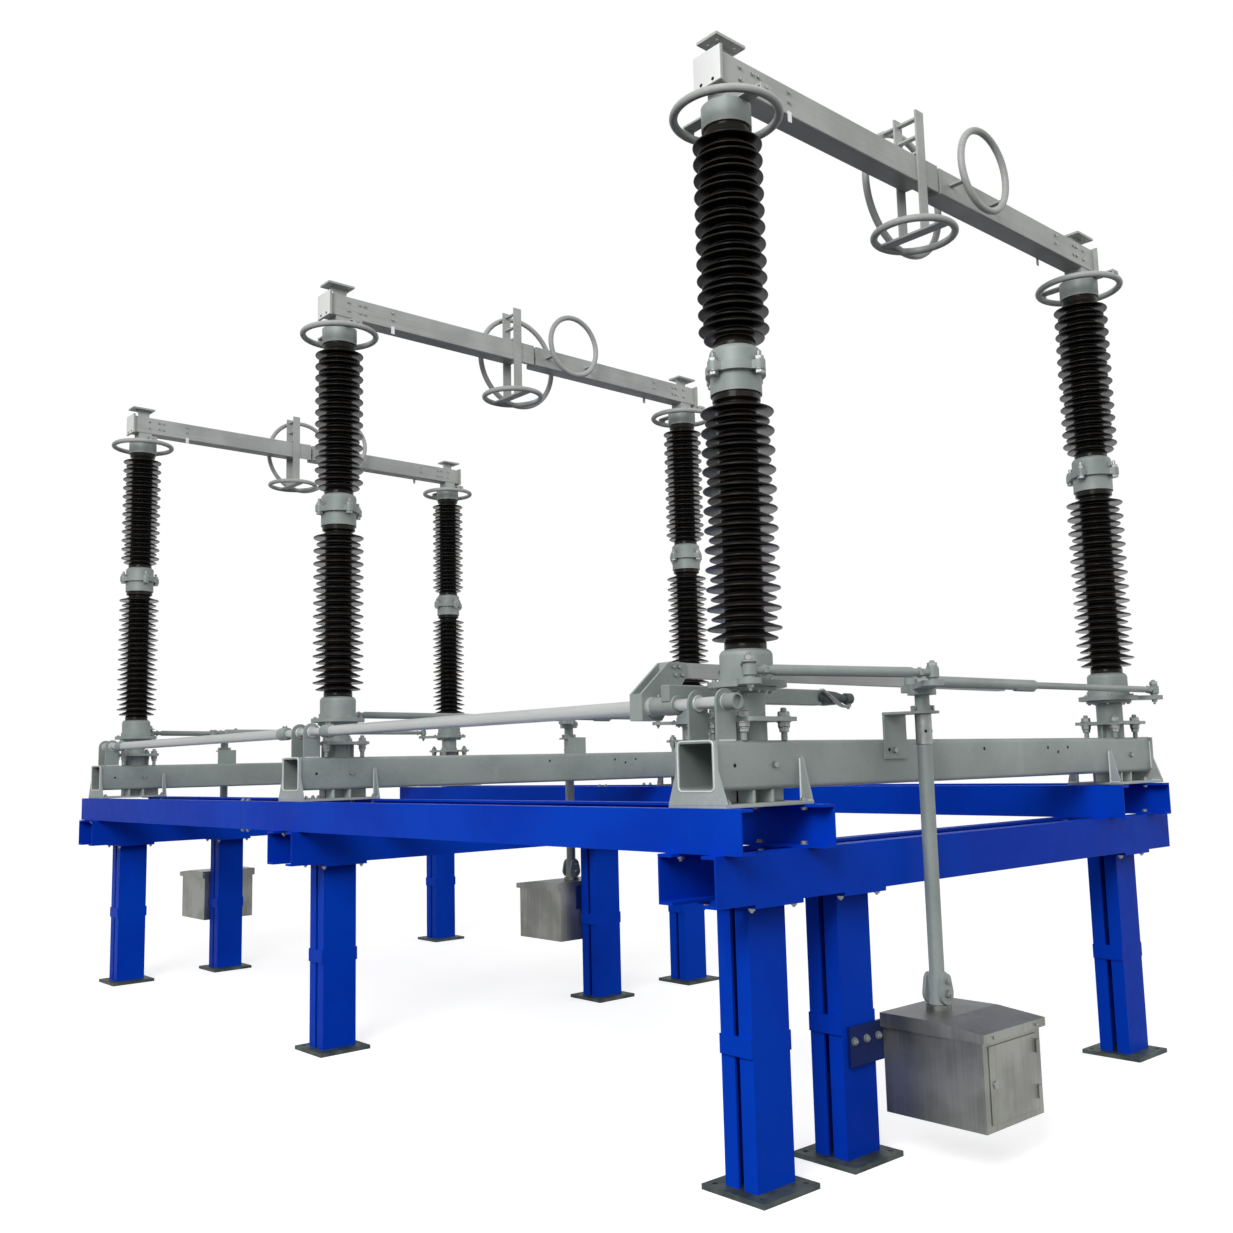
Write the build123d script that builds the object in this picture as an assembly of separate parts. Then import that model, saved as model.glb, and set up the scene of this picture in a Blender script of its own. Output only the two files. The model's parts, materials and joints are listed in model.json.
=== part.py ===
from build123d import *
import os
from math import cos, radians, sin, sqrt

# Three-pole centre-break disconnector on its steel frame.
# X runs along each pole, Y along the row of poles, Z up, floor at zero. Sizes in millimetres.

# Layout of the poles
pole_count = 3
pole_pitch = 3150
column_pitch = 2856
column_inset = 352        # from the near end of a cross beam to the first column
column_outset = 272       # from the second column to the far end

# Feet and legs, each leg a pair of channels with the toes facing
foot_side = 300
foot_thick = 20
foot_bolt_pitch = 230
foot_bolt_radius = 11
leg_depth = 200
leg_flange = 65
leg_web = 8.5
leg_lip = 11.5
leg_toe_gap = 25
batten_height = 70
batten_thick = 8
cap_plate_length = 260
cap_plate_thick = 15
leg_top = 1020            # underside of the cross beams
first_leg_offset = -24    # from the first column, along the pole
last_leg_offset = -101    # from the second column
drive_leg_offsets = (480, 1950, 740)

# Cross beams under each pole and the two rails over them, pairs of channels
cross_depth = 180
cross_flange = 70
cross_web = 8
cross_lip = 11
cross_pair_width = 290
rail_depth = 160
rail_flange = 65
rail_web = 7.5
rail_lip = 10.5
rail_pair_width = 515
rail_overhang = 230       # past the outer poles
front_rail_offset = -310  # outer web of the front rail, from the first column
rear_rail_offset = -386    # from the second column

# Base tube of a pole with its welded saddles
tube_side = 180
tube_wall = 8
tube_corner = 18
tube_overhang = 289       # near end, from the first column
tube_tail = 255           # far end, from the second column
saddle_gap = 60           # rail top to tube underside
saddle_length = 480
saddle_width = 290
saddle_plate = 12
saddle_collar = 16        # end plate round the tube
cheek_length = 170
cheek_thick = 10
gusset_thick = 10
gusset_foot = 50
gusset_tip = 12
gusset_share = 0.62       # height of a gusset on the tube's side
side_hole_radius = 7
near_hole_inset = 110     # from the near end
single_hole_offset = 1468
group_hole_offset = -733  # middle of the three, from the second column
group_hole_pitch = 95
side_hole_lift = 45       # above the middle of the tube
group_hole_drop = 22

# Bearing housing under each column
hub_radius = 66
bearing_flange_radius = 112
bearing_flange_thick = 14
bearing_fillet = 16
bearing_height = 198
bearing_gap = 0.5
stud_plate_side = 270
stud_plate_thick = 16
stud_plate_lift = 70
stud_plate_corner = 20
stud_radius = 12
stud_pitch = 226
stud_height = 118
hub_rib_thick = 12
hub_rib_reach = 100

# Turntable lever, pins and link rods
lever_thick = 22
lever_disc_radius = 150
lever_reach = 240
lever_width = 84
pin_radius = 18
pin_height = 60
pin_clearance = 0.3
rod_lift = 6              # eye above its lever
rod_radius = 19
sleeve_radius = 25
sleeve_shares = (1, 0.45)  # thick length of the near and far rods
eye_radius = 40
eye_height = 48

# Insulator column, two porcelain units with cast fittings
fitting_radius = 101
fitting_foot_radius = 107
foot_cap_height = 123
foot_cap_rim = 26
lower_length = 992
mid_joint_height = 188
mid_flange_thick = 34
mid_flange_radius = 118
mid_lug_reach = 124
mid_lug_radius = 24
mid_lug_count = 4
cap_shoulder = 24
upper_length = 905
top_cap_height = 95
core_radius = 75
large_shed_radius = 143
upper_shed_radius = 138
small_shed_radius = 125
shed_count = 12           # pairs of a large and a small shed
upper_shed_count = 13
lower_shed_root = 22      # thickness of a shed where it leaves the core
upper_shed_root = 44
lower_shed_edge = 4       # and radius of its rim
upper_shed_edge = 10
shed_droop = 12
collar_length = 36        # plain porcelain at each end
lower_collar_radii = (81, 94)
upper_collar_radii = (84, 92)

# Arms with heads, terminal pads and contacts
arm_height = 130
arm_width = 110
arm_corner = 6
arm_back = 90             # behind the column axis
strap_thick = 8
strap_width = 60
head_side = 100
head_rise = 62
end_plate_side = 150
end_plate_thick = 12
pad_length = 170
pad_width = 110
pad_thick = 12
pad_rise = 60
pad_web_thick = 12
pad_web_length = 140
pad_web_foot = 96
pad_web_waist = 84
pad_waist_share = 0.45
pad_hole_pitch_x = 100
pad_hole_pitch_y = 50
pad_hole_radius = 7
contact_length = 131      # from the end of arm A to the middle of the pole
jaw_width = 90
jaw_thick = 12
jaw_gap = 16              # each side of the tongue
jaw_short = 5
side_plate_thick = 10
tip_gap = 10
tongue_width = 80
tongue_thick = 12
tongue_reach = 65

# Corona rings and the contact frame
ring_radius = 212
ring_tube = 17
ring_drop = 32
bar_width = 60
bar_thick = 10
frame_back = 150          # contact frame behind the middle of the pole
frame_top = 290
frame_foot = 300
rung_width = 28
rung_levels = (90, 170)
far_ring_radius = 300
far_ring_reach = 150
low_ring_radius = 186
near_ring_radius = 198
near_ring_reach = 135
near_ring_lift = 100
near_ring_setback = 57    # from the middle of the pole to the near ring's edge
near_bar_width = 30

# Drive box, shaft and crank of each pole
drive_shaft_offsets = (820, 1880, 800)
drive_sides = (-1, 1, 1)
drive_box_tops = (505, 725, 725)
drive_box_length = 400
drive_box_depth = 440
drive_box_height = 350
lid_overhang = 18
lid_thick = 6
lid_rise = 22
lid_lip = 26
shaft_setback = 126       # shaft axis from the back of the box
box_plate_thick = 12
box_plate_height = 150
box_plate_margin = 70
shaft_radius = 30
shaft_clearance = 0.3
coupling_radius = 38
coupling_height = 120
cheek_width = 84
cheek_plate = 14
cheek_gap = 62
gland_radius = 50
gland_height = 18
collar_radius = 48
collar_height = 22
bracket_rise = 110
bracket_drop = 80
bracket_wing = 105        # before the shaft axis
bracket_tail = 45         # and past it
bracket_thick = 10
bracket_nose = 66         # round the shaft axis
hub_crank_radius = 58

# Earthing switch over the near ends
earth_shaft_inset = 90    # from the near end of the tube
earth_shaft_lift = 140
earth_journal_radius = 25
earth_tube_radius = 38
earth_tube_inset = 220
earth_shaft_overhang = 120
earth_plate_thick = 10
earth_plate_width = 100
earth_plate_pitch = 140
earth_arm_offset = 350    # from pole 1, along the row
earth_arm_thick = 12
earth_arm_gap = 46
earth_arm_width = 90
earth_clamp_side = 104
earth_blade_rise = 150
earth_blade_start = 100
earth_blade_length = 2480
earth_blade_height = 60
earth_blade_width = 46

# Places worked out from the sizes above
cross_length = column_inset + column_pitch + column_outset
tube_length = tube_overhang + column_pitch + tube_tail
column_a = -cross_length / 2 + column_inset
column_b = column_a + column_pitch
arm_span = column_pitch / 2
leg_width = 2 * leg_flange + leg_toe_gap
cross_top = leg_top + cross_depth
rail_top = cross_top + rail_depth
tube_bottom = rail_top + saddle_gap
deck = tube_bottom + tube_side
tube_near = column_a - tube_overhang
lever_bottom = deck + bearing_height + bearing_gap
lever_top = lever_bottom + lever_thick
lower_bottom = lever_top + foot_cap_height
mid_bottom = lower_bottom + lower_length
upper_bottom = mid_bottom + mid_joint_height
top_bottom = upper_bottom + upper_length
strap_bottom = top_bottom + top_cap_height
head_bottom = strap_bottom + strap_thick
arm_level = head_bottom + head_rise + arm_height / 2
rod_level = lever_top + rod_lift + eye_height / 2
box_back = leg_width / 2 + box_plate_thick
shaft_reach = box_back + shaft_setback
earth_x = tube_near + earth_shaft_inset
earth_z = deck + earth_shaft_lift


def pole_y(pole):
    return (pole - (pole_count - 1) / 2) * pole_pitch


def leg_places(pole):
    return [column_a + first_leg_offset, column_a + drive_leg_offsets[pole], column_b + last_leg_offset]


def block(x0, x1, y0, y1, z0, z1):
    middle = Pos((x0 + x1) / 2, (y0 + y1) / 2, (z0 + z1) / 2)
    return middle * Box(abs(x1 - x0), abs(y1 - y0), abs(z1 - z0))


def disc(x, y, z0, z1, radius):
    return Pos(x, y, (z0 + z1) / 2) * Cylinder(radius, z1 - z0)


def plate(points, plane, thick):
    outline = make_face(Polyline(*points, close=True))
    return extrude(plane * outline, amount=thick / 2, both=True)


def channel(depth, flange, web, lip, origin, toes, run, length):
    half = depth / 2
    outline = Polyline(
        (0, -half), (flange, -half), (flange, lip - half), (web, lip - half),
        (web, half - lip), (flange, half - lip), (flange, half), (0, half), close=True)
    return extrude(Plane(origin, x_dir=toes, z_dir=run) * make_face(outline), amount=length)


def polar(radius, degrees):
    return radius * cos(radians(degrees)), radius * sin(radians(degrees))


# Feet and legs
def leg(x, y):
    bottom, top = foot_thick, leg_top - cap_plate_thick
    solid = block(x - cap_plate_length / 2, x + cap_plate_length / 2,
                  y - cross_pair_width / 2, y + cross_pair_width / 2, top, leg_top)
    for side in (-1, 1):
        solid += channel(leg_depth, leg_flange, leg_web, leg_lip,
                         (x, y + side * leg_width / 2, bottom), (0, -side, 0), (0, 0, 1), top - bottom)
        face = x + side * leg_depth / 2
        middle = (bottom + top) / 2
        solid += block(face, face + side * batten_thick, y - leg_width / 2, y + leg_width / 2,
                       middle - batten_height / 2, middle + batten_height / 2)
    return solid


def foot_plate(x, y):
    holes = GridLocations(foot_bolt_pitch, foot_bolt_pitch, 2, 2) * Cylinder(foot_bolt_radius, 2 * foot_thick)
    return Pos(x, y, foot_thick / 2) * (Box(foot_side, foot_side, foot_thick) - holes)


# Cross beams and rails
def cross_beam(y):
    level = leg_top + cross_depth / 2
    return [channel(cross_depth, cross_flange, cross_web, cross_lip,
                    (-cross_length / 2, y + side * cross_pair_width / 2, level),
                    (0, -side, 0), (1, 0, 0), cross_length) for side in (-1, 1)]


def rail(near_web):
    level = cross_top + rail_depth / 2
    start = pole_y(0) - rail_overhang
    middle = near_web + rail_pair_width / 2
    return [channel(rail_depth, rail_flange, rail_web, rail_lip,
                    (middle + side * rail_pair_width / 2, start, level),
                    (-side, 0, 0), (0, 1, 0), -2 * start) for side in (-1, 1)]


# Base tube with a saddle over each rail
def saddle(x, y, run):
    half, wide = tube_side / 2, saddle_width / 2
    top = rail_top + saddle_plate
    ends = sorted((x, x + run * saddle_length))
    solid = block(ends[0], ends[1], y - wide, y + wide, rail_top, top)
    collar = half + saddle_collar
    points = [(-wide, top), (wide, top), (collar, tube_bottom + half), (collar, deck),
              (-collar, deck), (-collar, tube_bottom + half)]
    end_plane = Plane((x + run * saddle_plate / 2, y, 0), x_dir=(0, 1, 0), z_dir=(1, 0, 0))
    solid += plate(points, end_plane, saddle_plate)
    for side in (-1, 1):
        cheek = y + side * half
        lengths = sorted((x, x + run * cheek_length))
        solid += block(lengths[0], lengths[1], cheek, cheek + side * cheek_thick, top, deck)
        tip = tube_bottom + gusset_share * tube_side
        points = [(side * half, top), (side * (half + gusset_foot), top),
                  (side * (half + gusset_tip), tip), (side * half, tip)]
        inner = x + run * (saddle_length - gusset_thick / 2)
        gusset_plane = Plane((inner, y, 0), x_dir=(0, 1, 0), z_dir=(1, 0, 0))
        solid += plate(points, gusset_plane, gusset_thick)
    solid += block(ends[0], ends[1], y - gusset_thick / 2, y + gusset_thick / 2, top, tube_bottom)
    return solid


def base_beam(y):
    outer = RectangleRounded(tube_side, tube_side, tube_corner)
    inner_side = tube_side - 2 * tube_wall
    inner = RectangleRounded(inner_side, inner_side, tube_corner - tube_wall)
    end = Plane((tube_near, y, tube_bottom + tube_side / 2), x_dir=(0, 1, 0), z_dir=(1, 0, 0))
    solid = extrude(end * outer, amount=tube_length)
    solid += saddle(tube_near, y, 1)
    solid += saddle(tube_near + tube_length, y, -1)
    solid -= extrude(end * inner, amount=tube_length)
    group = column_b + group_hole_offset
    high = tube_bottom + tube_side / 2 + side_hole_lift
    holes = [(tube_near + near_hole_inset, tube_bottom + tube_side / 2),
             (column_a + single_hole_offset, high), (group, high - group_hole_drop),
             (group - group_hole_pitch, high), (group + group_hole_pitch, high)]
    for x, level in holes:
        bore = Plane((x, y, level), z_dir=(0, 1, 0)) * Circle(side_hole_radius)
        solid -= extrude(bore, amount=tube_side, both=True)
    return solid


def bearing_housing(x, y):
    top = deck + bearing_height
    flange = top - bearing_flange_thick
    neck, root = (hub_radius, flange - bearing_fillet), (hub_radius + bearing_fillet, flange)
    rim = bearing_flange_radius
    profile = [Polyline((0, deck), (hub_radius, deck), neck), RadiusArc(neck, root, bearing_fillet),
               Polyline(root, (rim, flange), (rim, top), (0, top), (0, deck))]
    solid = Pos(x, y, 0) * revolve(Plane.XZ * make_face(profile), Axis.Z)
    lift = deck + stud_plate_lift
    outline = RectangleRounded(stud_plate_side, stud_plate_side, stud_plate_corner)
    solid += Pos(x, y, lift) * extrude(outline, amount=stud_plate_thick)
    solid += block(x - hub_rib_reach, x + hub_rib_reach, y - hub_rib_thick / 2, y + hub_rib_thick / 2,
                   deck, lift)
    half = min(stud_pitch, tube_side - 2 * stud_radius) / 2
    for sx in (-1, 1):
        for sy in (-1, 1):
            solid += disc(x + sx * stud_pitch / 2, y + sy * half, deck, deck + stud_height, stud_radius)
    return solid


# Rotating column, drawn with its axis at the origin and its arm along +X
def shouldered_cap(low, high):
    cap = disc(0, 0, low, high, fitting_radius)
    return fillet(cap.edges().sort_by(Axis.Z)[-1], cap_shoulder)


def turntable(pin_angle):
    px, py = polar(lever_reach, pin_angle)
    arm = Pos(px / 2, py / 2, (lever_bottom + lever_top) / 2) * (
        Rot(0, 0, pin_angle) * Box(lever_reach, lever_width, lever_thick))
    solid = disc(0, 0, lever_bottom, lever_top, lever_disc_radius) + arm
    solid += disc(px, py, lever_bottom, lever_top, lever_width / 2)
    solid += disc(px, py, lever_top, lever_top + pin_height, pin_radius)
    solid += disc(0, 0, lever_top, lever_top + foot_cap_rim, fitting_foot_radius)
    return solid + shouldered_cap(lever_top, lower_bottom)


def mid_joint():
    middle = mid_bottom + mid_joint_height / 2
    low, high = middle - mid_flange_thick / 2, middle + mid_flange_thick / 2
    outline = Circle(mid_flange_radius)
    for lug in range(mid_lug_count):
        tip = Pos(*polar(mid_lug_reach, 360 * lug / mid_lug_count)) * Circle(mid_lug_radius)
        outline += make_hull(tip.edges() + Circle(core_radius).edges())
    flange = Pos(0, 0, low) * extrude(outline, amount=high - low)
    return flange + shouldered_cap(mid_bottom, upper_bottom)


def porcelain(bottom, length, radii, root, edge, collars):
    top = bottom + length
    pitch = (length - 2 * collar_length) / len(radii)
    profile = [Line((0, top), (0, bottom))]
    ends = [(0, bottom), (collars[0], bottom), (core_radius, bottom + collar_length)]
    for index, radius in enumerate(radii):
        level = bottom + collar_length + (index + 1 / 2) * pitch
        rim = level - shed_droop
        tips = [(radius - edge, rim - edge), (radius - edge, rim + edge)]
        ends += [(core_radius, level - root / 2), tips[0]]
        profile += [Polyline(*ends), ThreePointArc(tips[0], (radius, rim), tips[1])]
        ends = [tips[1], (core_radius, level + root / 2)]
    ends += [(core_radius, top - collar_length), (collars[1], top), (0, top)]
    return revolve(Plane.XZ * make_face(profile + [Polyline(*ends)]), Axis.Z)


def lower_unit():
    radii = [large_shed_radius, small_shed_radius] * shed_count
    return porcelain(lower_bottom, lower_length, radii, lower_shed_root, lower_shed_edge, lower_collar_radii)


def upper_unit():
    radii = [upper_shed_radius] * upper_shed_count
    return porcelain(upper_bottom, upper_length, radii, upper_shed_root, upper_shed_edge, upper_collar_radii)


def arm_beam(end):
    length = end + arm_back
    bar = Pos((end - arm_back) / 2, 0, arm_level) * Box(length, arm_width, arm_height)
    bar = fillet(bar.edges().filter_by(Axis.X), arm_corner)
    top = arm_level + arm_height / 2
    solid = bar + block(-head_side / 2, head_side / 2, -head_side / 2, head_side / 2, head_bottom, arm_level)
    half = end_plate_side / 2
    solid += block(-arm_back - end_plate_thick, -arm_back, -half, half, arm_level - half, arm_level + half)
    foot, waist, crown = pad_web_foot / 2, pad_web_waist / 2, pad_web_length / 2
    narrow, high = top + pad_rise * pad_waist_share, top + pad_rise
    web = [Polyline((-foot, top), (-foot, arm_level), (foot, arm_level), (foot, top)),
           ThreePointArc((foot, top), (waist, narrow), (crown, high)), Line((crown, high), (-crown, high)),
           ThreePointArc((-crown, high), (-waist, narrow), (-foot, top))]
    solid += extrude(Plane.XZ * make_face(web), amount=pad_web_thick / 2, both=True)
    pad_x = (pad_web_length - pad_length) / 2
    pad = Pos(pad_x, 0, top + pad_rise + pad_thick / 2)
    holes = GridLocations(pad_hole_pitch_x, pad_hole_pitch_y, 2, 2) * Cylinder(pad_hole_radius, 2 * pad_thick)
    return solid + pad * (Box(pad_length, pad_width, pad_thick) - holes)


def arm_with_jaws():
    end = arm_span - contact_length
    solid = arm_beam(end)
    for side in (-1, 1):
        inner = arm_level + side * (tongue_thick / 2 + jaw_gap)
        levels = sorted((inner, inner + side * jaw_thick))
        solid += block(end, arm_span - jaw_short, -jaw_width / 2, jaw_width / 2, levels[0], levels[1])
    half = arm_height / 2
    return solid + block(end - side_plate_thick, arm_span - tip_gap, -arm_width / 2,
                         side_plate_thick - arm_width / 2, arm_level - half, arm_level + half)


def arm_with_tongue():
    end = arm_span - tip_gap
    return arm_beam(end) + block(end, arm_span + tongue_reach, -tongue_width / 2, tongue_width / 2,
                                 arm_level - tongue_thick / 2, arm_level + tongue_thick / 2)


def ring(centre, normal, radius):
    return Plane(centre, z_dir=normal) * Torus(radius, ring_tube)


def top_ring():
    level = strap_bottom - ring_drop
    solid = ring((0, 0, level), (0, 0, 1), ring_radius)
    reach = ring_radius + strap_thick / 2
    half = strap_width / 2
    solid += block(-half, half, -reach, reach, strap_bottom, head_bottom)
    for side in (-1, 1):
        edges = sorted((side * reach, side * (reach - strap_thick)))
        solid += block(-half, half, edges[0], edges[1], level, strap_bottom)
    return solid


def contact_frame():
    x = arm_span - frame_back
    low = arm_level - frame_foot
    half = arm_width / 2
    solid = ring((arm_span, far_ring_reach, arm_level), (0, 1, 0), far_ring_radius)
    solid += ring((x, 0, low), (0, 0, 1), low_ring_radius)
    for side in (-1, 1):
        faces = sorted((side * half, side * (half + bar_thick)))
        solid += block(x - bar_width / 2, x + bar_width / 2, faces[0], faces[1], low, arm_level + frame_top)
    solid += block(x - bar_width / 2, x + bar_width / 2, -low_ring_radius, low_ring_radius,
                   low - bar_thick / 2, low + bar_thick / 2)
    hold = sqrt(far_ring_radius ** 2 - frame_back ** 2)
    for level, reach in [(hold, far_ring_reach)] + [(rung, half) for rung in rung_levels]:
        solid += block(x - rung_width / 2, x + rung_width / 2, -half, reach,
                       arm_level + level - bar_thick / 2, arm_level + level + bar_thick / 2)
    return solid


def near_ring():
    x = arm_span - near_ring_setback - near_ring_radius - ring_tube
    level = arm_level + near_ring_lift
    solid = ring((x, near_ring_reach, level), (0, 1, 0), near_ring_radius)
    hold = sqrt(near_ring_radius ** 2 - near_ring_lift ** 2)
    for side in (-1, 1):
        solid += block(x + side * hold - near_bar_width / 2, x + side * hold + near_bar_width / 2,
                       arm_width / 2, near_ring_reach, arm_level - bar_thick / 2, arm_level + bar_thick / 2)
    return solid


# Drive of a pole: box on its leg, vertical shaft, bracket on the tube, double crank
def shaft_place(pole):
    return column_a + drive_shaft_offsets[pole], pole_y(pole) + drive_sides[pole] * shaft_reach


def crank_angles(pole):
    first = 45 if drive_sides[pole] > 0 else -135
    return first, first + 180


def drive_box(pole):
    x, y = column_a + drive_shaft_offsets[pole], pole_y(pole)
    side, top = drive_sides[pole], drive_box_tops[pole]
    backs = sorted((y + side * box_back, y + side * (box_back + drive_box_depth)))
    return block(x - drive_box_length / 2, x + drive_box_length / 2, backs[0], backs[1],
                 top - drive_box_height, top)


def drive_lid(pole):
    x, y = column_a + drive_shaft_offsets[pole], pole_y(pole)
    side, top = drive_sides[pole], drive_box_tops[pole]
    half = drive_box_length / 2 + lid_overhang
    back, front = box_back, box_back + drive_box_depth + lid_overhang
    crest = box_back + 2 * shaft_setback
    outer = [(back, top), (front, top), (front, top + lid_thick), (crest, top + lid_rise + lid_thick),
             (back, top + lid_rise + lid_thick)]
    plane = Plane((x, y, 0), x_dir=(0, side, 0), z_dir=(side, 0, 0))
    solid = plate(outer, plane, 2 * half)
    inner = drive_box_length / 2 + pin_clearance
    edges = (y + side * back, y + side * (front - lid_overhang + pin_clearance))
    skirt = block(x - half, x + half, y + side * back, y + side * front, top - lid_lip, top)
    solid += skirt - block(x - inner, x + inner, *edges, top - lid_lip, top)
    sx, sy = shaft_place(pole)
    return solid + disc(sx, sy, top, top + lid_rise + lid_thick + gland_height, gland_radius)


def box_bracket(pole):
    y, side = pole_y(pole), drive_sides[pole]
    xs = sorted((column_a + drive_leg_offsets[pole], column_a + drive_shaft_offsets[pole]))
    faces = sorted((y + side * leg_width / 2, y + side * box_back))
    top = drive_box_tops[pole]
    return block(xs[0] - box_plate_margin, xs[1] + box_plate_margin, faces[0], faces[1],
                 top - box_plate_height, top)


def shaft_bracket(pole):
    x, sy = shaft_place(pole)
    y, side = pole_y(pole), drive_sides[pole]
    face = tube_side / 2
    top = deck + bracket_rise
    faces = sorted((y + side * face, y + side * (face + bracket_thick)))
    solid = block(x - bracket_wing, x + bracket_tail, *faces, deck - bracket_drop, top)
    wing = Pos(x + (bracket_tail - bracket_wing) / 2, (faces[0] + faces[1]) / 2)
    root = wing * Rectangle(bracket_wing + bracket_tail, bracket_thick)
    nose = Pos(x, sy) * Circle(bracket_nose)
    tongue = make_hull(root.edges() + nose.edges())
    solid += Pos(0, 0, top - bracket_thick) * extrude(tongue, amount=bracket_thick)
    return solid - disc(x, sy, top - 2 * bracket_thick, top + bracket_thick, shaft_radius + shaft_clearance)


def drive_shaft(pole):
    x, y = shaft_place(pole)
    bottom = drive_box_tops[pole] + lid_rise + lid_thick + gland_height + bearing_gap
    seat = deck + bracket_rise + bearing_gap
    solid = disc(x, y, bottom, lever_top, shaft_radius)
    solid += disc(x, y, bottom, bottom + coupling_height, coupling_radius)
    low, high = bottom + cheek_width / 2, bottom + coupling_height - cheek_gap / 2
    for cheek in (-1, 1):
        face = Plane((x, y + cheek * (cheek_gap + cheek_plate) / 2, 0), x_dir=(1, 0, 0), z_dir=(0, -1, 0))
        rounds = Pos(0, low) * Circle(cheek_width / 2), Pos(0, high) * Circle(cheek_gap / 2)
        outline = make_hull(rounds[0].edges() + rounds[1].edges())
        solid += extrude(face * outline, amount=cheek_plate / 2, both=True)
    solid += disc(x, y, seat, seat + collar_height, collar_radius)
    solid += disc(x, y, lever_bottom - collar_height, lever_top, hub_crank_radius)
    first, second = crank_angles(pole)
    crank = Rot(0, 0, first) * Box(2 * lever_reach, lever_width, lever_thick)
    solid += Pos(x, y, (lever_bottom + lever_top) / 2) * crank
    for angle in (first, second):
        px, py = polar(lever_reach, angle)
        solid += disc(x + px, y + py, lever_bottom, lever_top, lever_width / 2)
    px, py = polar(lever_reach, first)
    return solid + disc(x + px, y + py, lever_top, lever_top + pin_height, pin_radius)


def link_rod(start, end, bored, sleeve_share):
    run = Vector(end[0] - start[0], end[1] - start[1], 0)
    plane = Plane((start[0], start[1], rod_level), z_dir=run)
    solid = extrude(plane * Circle(rod_radius), amount=run.length)
    solid += extrude(plane * Circle(sleeve_radius), amount=run.length * sleeve_share)
    low, high = rod_level - eye_height / 2, rod_level + eye_height / 2
    for x, y in (start, end):
        solid += disc(x, y, low, high, eye_radius)
    for x, y in bored:
        solid -= disc(x, y, low - rod_lift, high + rod_lift, pin_radius + pin_clearance)
    return solid


def pin_place(x, y, angle):
    px, py = polar(lever_reach, angle)
    return x + px, y + py


def rod_a(pole):
    first = crank_angles(pole)[0]
    start = pin_place(column_a, pole_y(pole), first)
    end = pin_place(*shaft_place(pole), first)
    return link_rod(start, end, (start, end), sleeve_shares[0])


def rod_b(pole):
    first, second = crank_angles(pole)
    start = pin_place(*shaft_place(pole), second)
    end = pin_place(column_b, pole_y(pole), first + 90)
    return link_rod(start, end, (end,), sleeve_shares[1])


# Earthing switch
def earth_plates():
    top = earth_z + earth_plate_width / 2
    half = earth_plate_width / 2
    solids = []
    for pole in range(pole_count):
        for side in (-1, 1):
            y = pole_y(pole) + side * earth_plate_pitch / 2
            upright = block(earth_x - half, earth_x + half, y - earth_plate_thick / 2,
                            y + earth_plate_thick / 2, deck, earth_z)
            eye = Plane((earth_x, y, earth_z), z_dir=(0, 1, 0))
            upright += extrude(eye * Circle(top - earth_z), amount=earth_plate_thick / 2, both=True)
            bore = eye * Circle(earth_journal_radius + pin_clearance)
            solids.append(upright - extrude(bore, amount=earth_plate_thick, both=True))
    return solids


def earth_bar(y0, y1, radius):
    return extrude(Plane((earth_x, y0, earth_z), z_dir=(0, 1, 0)) * Circle(radius), amount=y1 - y0)


def earth_shaft():
    low, high = pole_y(0) - earth_shaft_overhang, pole_y(pole_count - 1) + earth_shaft_overhang
    solid = earth_bar(low, high, earth_journal_radius)
    for pole in range(pole_count - 1):
        start, stop = pole_y(pole) + earth_tube_inset, pole_y(pole + 1) - earth_tube_inset
        solid += earth_bar(start, stop, earth_tube_radius)
    return solid


def earth_arm():
    y = pole_y(0) + earth_arm_offset
    half = earth_clamp_side / 2
    outer = earth_arm_gap / 2 + earth_arm_thick
    solid = block(earth_x - half, earth_x + half, y - outer, y + outer, earth_z - half, earth_z + half)
    root = earth_blade_start + earth_arm_width
    low = earth_blade_rise - earth_blade_height / 2
    high = earth_blade_rise + earth_blade_height / 2
    points = [(-half, 0), (half, -half), (root, low), (root, high), (earth_blade_start, high), (-half, half)]
    for side in (-1, 1):
        web = Plane((earth_x, y + side * (earth_arm_gap + earth_arm_thick) / 2, earth_z),
                    x_dir=(1, 0, 0), z_dir=(0, -1, 0))
        solid += plate(points, web, earth_arm_thick)
    return solid - earth_bar(y - 2 * outer, y + 2 * outer, earth_tube_radius)


def earth_blade():
    y = pole_y(0) + earth_arm_offset
    level = earth_z + earth_blade_rise
    start = earth_x + earth_blade_start
    return block(start, start + earth_blade_length, y - earth_blade_width / 2, y + earth_blade_width / 2,
                 level - earth_blade_height / 2, level + earth_blade_height / 2)


# All nodes: a name and its solids
def column_nodes(pole, letter):
    first = crank_angles(pole)[0]
    y = pole_y(pole)
    if letter == "a":
        place, pin_angle = Pos(column_a, y, 0), first
        arm, shields = arm_with_jaws(), contact_frame()
    else:
        place, pin_angle = Pos(column_b, y, 0) * Rot(0, 0, 180), first + 90 - 180
        arm, shields = arm_with_tongue(), near_ring()
    name = f"{letter}{pole + 1}"
    cap = disc(0, 0, top_bottom, strap_bottom, fitting_radius)
    return {
        f"fittings_{name}": [place * turntable(pin_angle), place * mid_joint(), place * cap],
        f"porcelain_{name}": [place * lower_unit(), place * upper_unit()],
        f"arm_{name}": [place * arm],
        f"rings_{name}": [place * top_ring(), place * shields],
    }


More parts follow.
